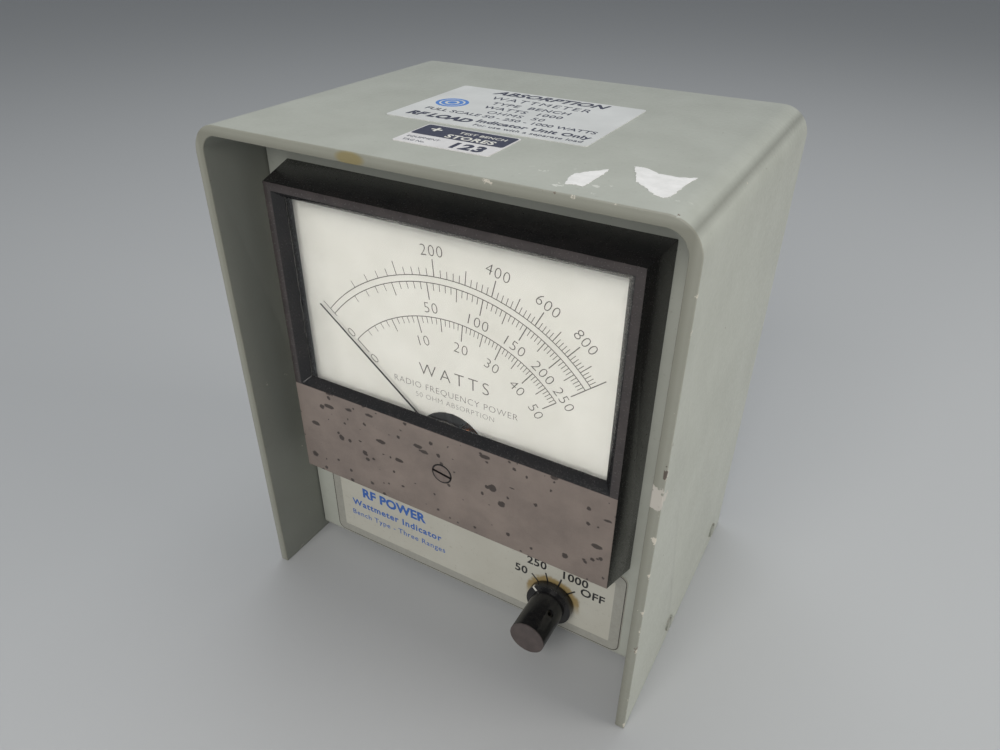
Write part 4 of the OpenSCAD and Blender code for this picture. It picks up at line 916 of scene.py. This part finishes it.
torn_paper = label_stock("torn_paper", (0.84, 0.83, 0.82, 1), (0.66, 0.66, 0.64, 1), 260.0, 0.6,
                         0.8, bump=0.6, bump_depth=0.00004)
tearing = random.Random(7)
for name, outline_mm in (
        ("torn_sticker_left", ((37.6, 5.6), (36.5, 9.2), (36.4, 12.8), (38.8, 16.0), (41.9, 19.6),
                               (42.1, 15.0), (41.9, 9.5), (41.5, 5.9), (39.8, 6.3))),
        ("torn_sticker_right", ((46.1, 24.4), (47.3, 21.4), (50.2, 14.9), (53.0, 12.4), (56.2, 8.8),
                                (58.5, 7.9), (59.6, 9.6), (59.9, 16.0), (60.7, 23.8), (57.3, 22.2),
                                (52.6, 22.4), (48.4, 24.9)))):
    bpy.ops.object.select_all(action="DESELECT")
    bpy.ops.mesh.primitive_circle_add(vertices=len(outline_mm), radius=MM, fill_type="NGON")
    paper = bpy.context.object
    for vertex, (x, back) in zip(paper.data.vertices, outline_mm):
        vertex.co = (x * MM, cover_low.y + back * MM, cover_high.z + 0.01 * MM)
    bpy.ops.object.mode_set(mode="EDIT")
    bpy.ops.mesh.select_all(action="SELECT")
    bpy.ops.mesh.normals_make_consistent(inside=False)
    bpy.ops.mesh.select_mode(type="EDGE")
    bpy.ops.mesh.subdivide(number_cuts=6)
    bpy.ops.object.mode_set(mode="OBJECT")
    for vertex in paper.data.vertices:
        vertex.co.x += tearing.uniform(-0.2, 0.2) * MM
        vertex.co.y += tearing.uniform(-0.2, 0.2) * MM
    if paper.data.polygons[0].normal.z < 0:
        paper.data.flip_normals()
    fit_modifier(paper, "SOLIDIFY", thickness=0.09 * MM, offset=1)
    paper.name = paper.data.name = name
    paper.data.materials.append(torn_paper)
    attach(paper, "housing")

# ---- Circuit board and socket ----
# Glass-fibre board on brass standoffs over the chassis floor, a resistor for each range, one
# disc capacitor, two leads to the meter, and a nickelled socket in the back panel.
laminate_green = moulding("board_laminate", (0.035, 0.16, 0.065, 1), (0.025, 0.115, 0.05, 1), 0.35,
                          coat=0.4)
clothe(laminate_green, "circuit_board")
clothe(brass, "board_standoffs")
clothe(zinc, "board_screws")
resistor, tree, skin, height = finish("resistor_lacquer", 0.35, bump=0.15)
axes = own_axes(tree)
film = film_of(tree, (0.52, 0.40, 0.23, 1), (0.44, 0.33, 0.18, 1), 300.0, 0.7)
lead_low, lead_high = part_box("range_resistors")
length = lead_high.y - lead_low.y
base = film["Color"]
for place, colour in ((0.30, (0.25, 0.08, 0.02, 1)), (0.42, (0.01, 0.01, 0.01, 1)),
                      (0.54, (0.45, 0.03, 0.02, 1)), (0.70, (0.55, 0.38, 0.08, 1))):
    gap = sum_of(tree, "ABSOLUTE", sum_of(tree, "SUBTRACT", axes["Y"], lead_low.y + place * length))
    base = over(tree, ramp(tree, gap, 0.52 * MM, 0.44 * MM), base, colour)
ends = sum_of(tree, "ABSOLUTE", sum_of(tree, "SUBTRACT", axes["Y"], lead_low.y + length / 2))
base = over(tree, ramp(tree, ends, 4.5 * MM, 4.56 * MM), base, (0.62, 0.61, 0.57, 1))
lay(tree, skin, height, film, base)
clothe(resistor, "range_resistors")
capacitor = moulding("capacitor_dip", (0.50, 0.20, 0.035, 1), (0.40, 0.15, 0.03, 1), 0.25, coat=0.5)
clothe(capacitor, "filter_capacitor")
leads, tree, skin, height = finish("lead_insulation", 0.4, bump=0.1)
on_right = sum_of(tree, "GREATER_THAN", own_axes(tree)["X"], 0.0)
red = film_of(tree, (0.42, 0.025, 0.02, 1), (0.33, 0.02, 0.018, 1), 300.0, 0.7)
lay(tree, skin, height, red, over(tree, on_right, (0.015, 0.015, 0.015, 1), red["Color"]))
clothe(leads, "meter_leads")
clothe(nickel, "signal_socket", "socket_nut")
white_insulator = moulding("white_insulator", (0.80, 0.79, 0.74, 1), (0.70, 0.68, 0.62, 1), 0.4)
clothe(white_insulator, "socket_insulator")
gold = metal("gold_plate", (0.80, 0.56, 0.20, 1), (0.62, 0.42, 0.15, 1), 0.2)
clothe(gold, "socket_contact")

# ---- Stage ----
# A pale floor under the meter, two soft lamps and a camera at standing eye height.
bpy.ops.object.select_all(action="DESELECT")
bpy.ops.mesh.primitive_plane_add(size=6, location=(0, 0, cover_low.z - 0.05 * MM))
floor = bpy.context.object
floor.name = "floor"
floor.data.materials.append(finish("pale_floor", 0.6, Base_Color=(0.46, 0.47, 0.48, 1))[0])


def soft_lamp(name, place, target, size, power, colour):
    """A square lamp that looks at a target; its size is in metres and its power in watts."""
    lamp = bpy.data.lights.new(name, "AREA")
    lamp.size = size
    lamp.energy = power
    lamp.color = colour
    holder = bpy.data.objects.new(name, lamp)
    holder.location = place
    holder.rotation_euler = (Vector(target) - Vector(place)).to_track_quat("-Z", "Y").to_euler()
    bpy.context.collection.objects.link(holder)


middle = (cover_low + cover_high) / 2
soft_lamp("front_lamp", (0.05, -0.95, 0.70), middle, 0.6, 7.0, (1.0, 0.97, 0.93))
soft_lamp("side_lamp", (0.95, 0.20, 0.35), middle, 0.5, 4.8, (1.0, 0.97, 0.91))
soft_lamp("top_lamp", (-0.1, 0.30, 1.0), middle, 0.7, 3.4, (0.96, 0.99, 1.0))
world = bpy.data.worlds.new("studio")
world.use_nodes = True
world.node_tree.nodes["Background"].inputs["Color"].default_value = (0.80, 0.84, 0.88, 1)
world.node_tree.nodes["Background"].inputs["Strength"].default_value = 0.30
bpy.context.scene.world = world
bpy.context.scene.view_settings.view_transform = "Standard"

lens = bpy.data.cameras.new("camera")
lens.sensor_width = 36
lens.lens = 26.88
lens.clip_start = 0.01
camera = bpy.data.objects.new("camera", lens)
camera.location = (0.1018, -0.1892, 0.2174)
camera.rotation_euler = [math.radians(turn) for turn in (57.04, -0.52, 29.57)]
bpy.context.collection.objects.link(camera)
bpy.context.scene.camera = camera
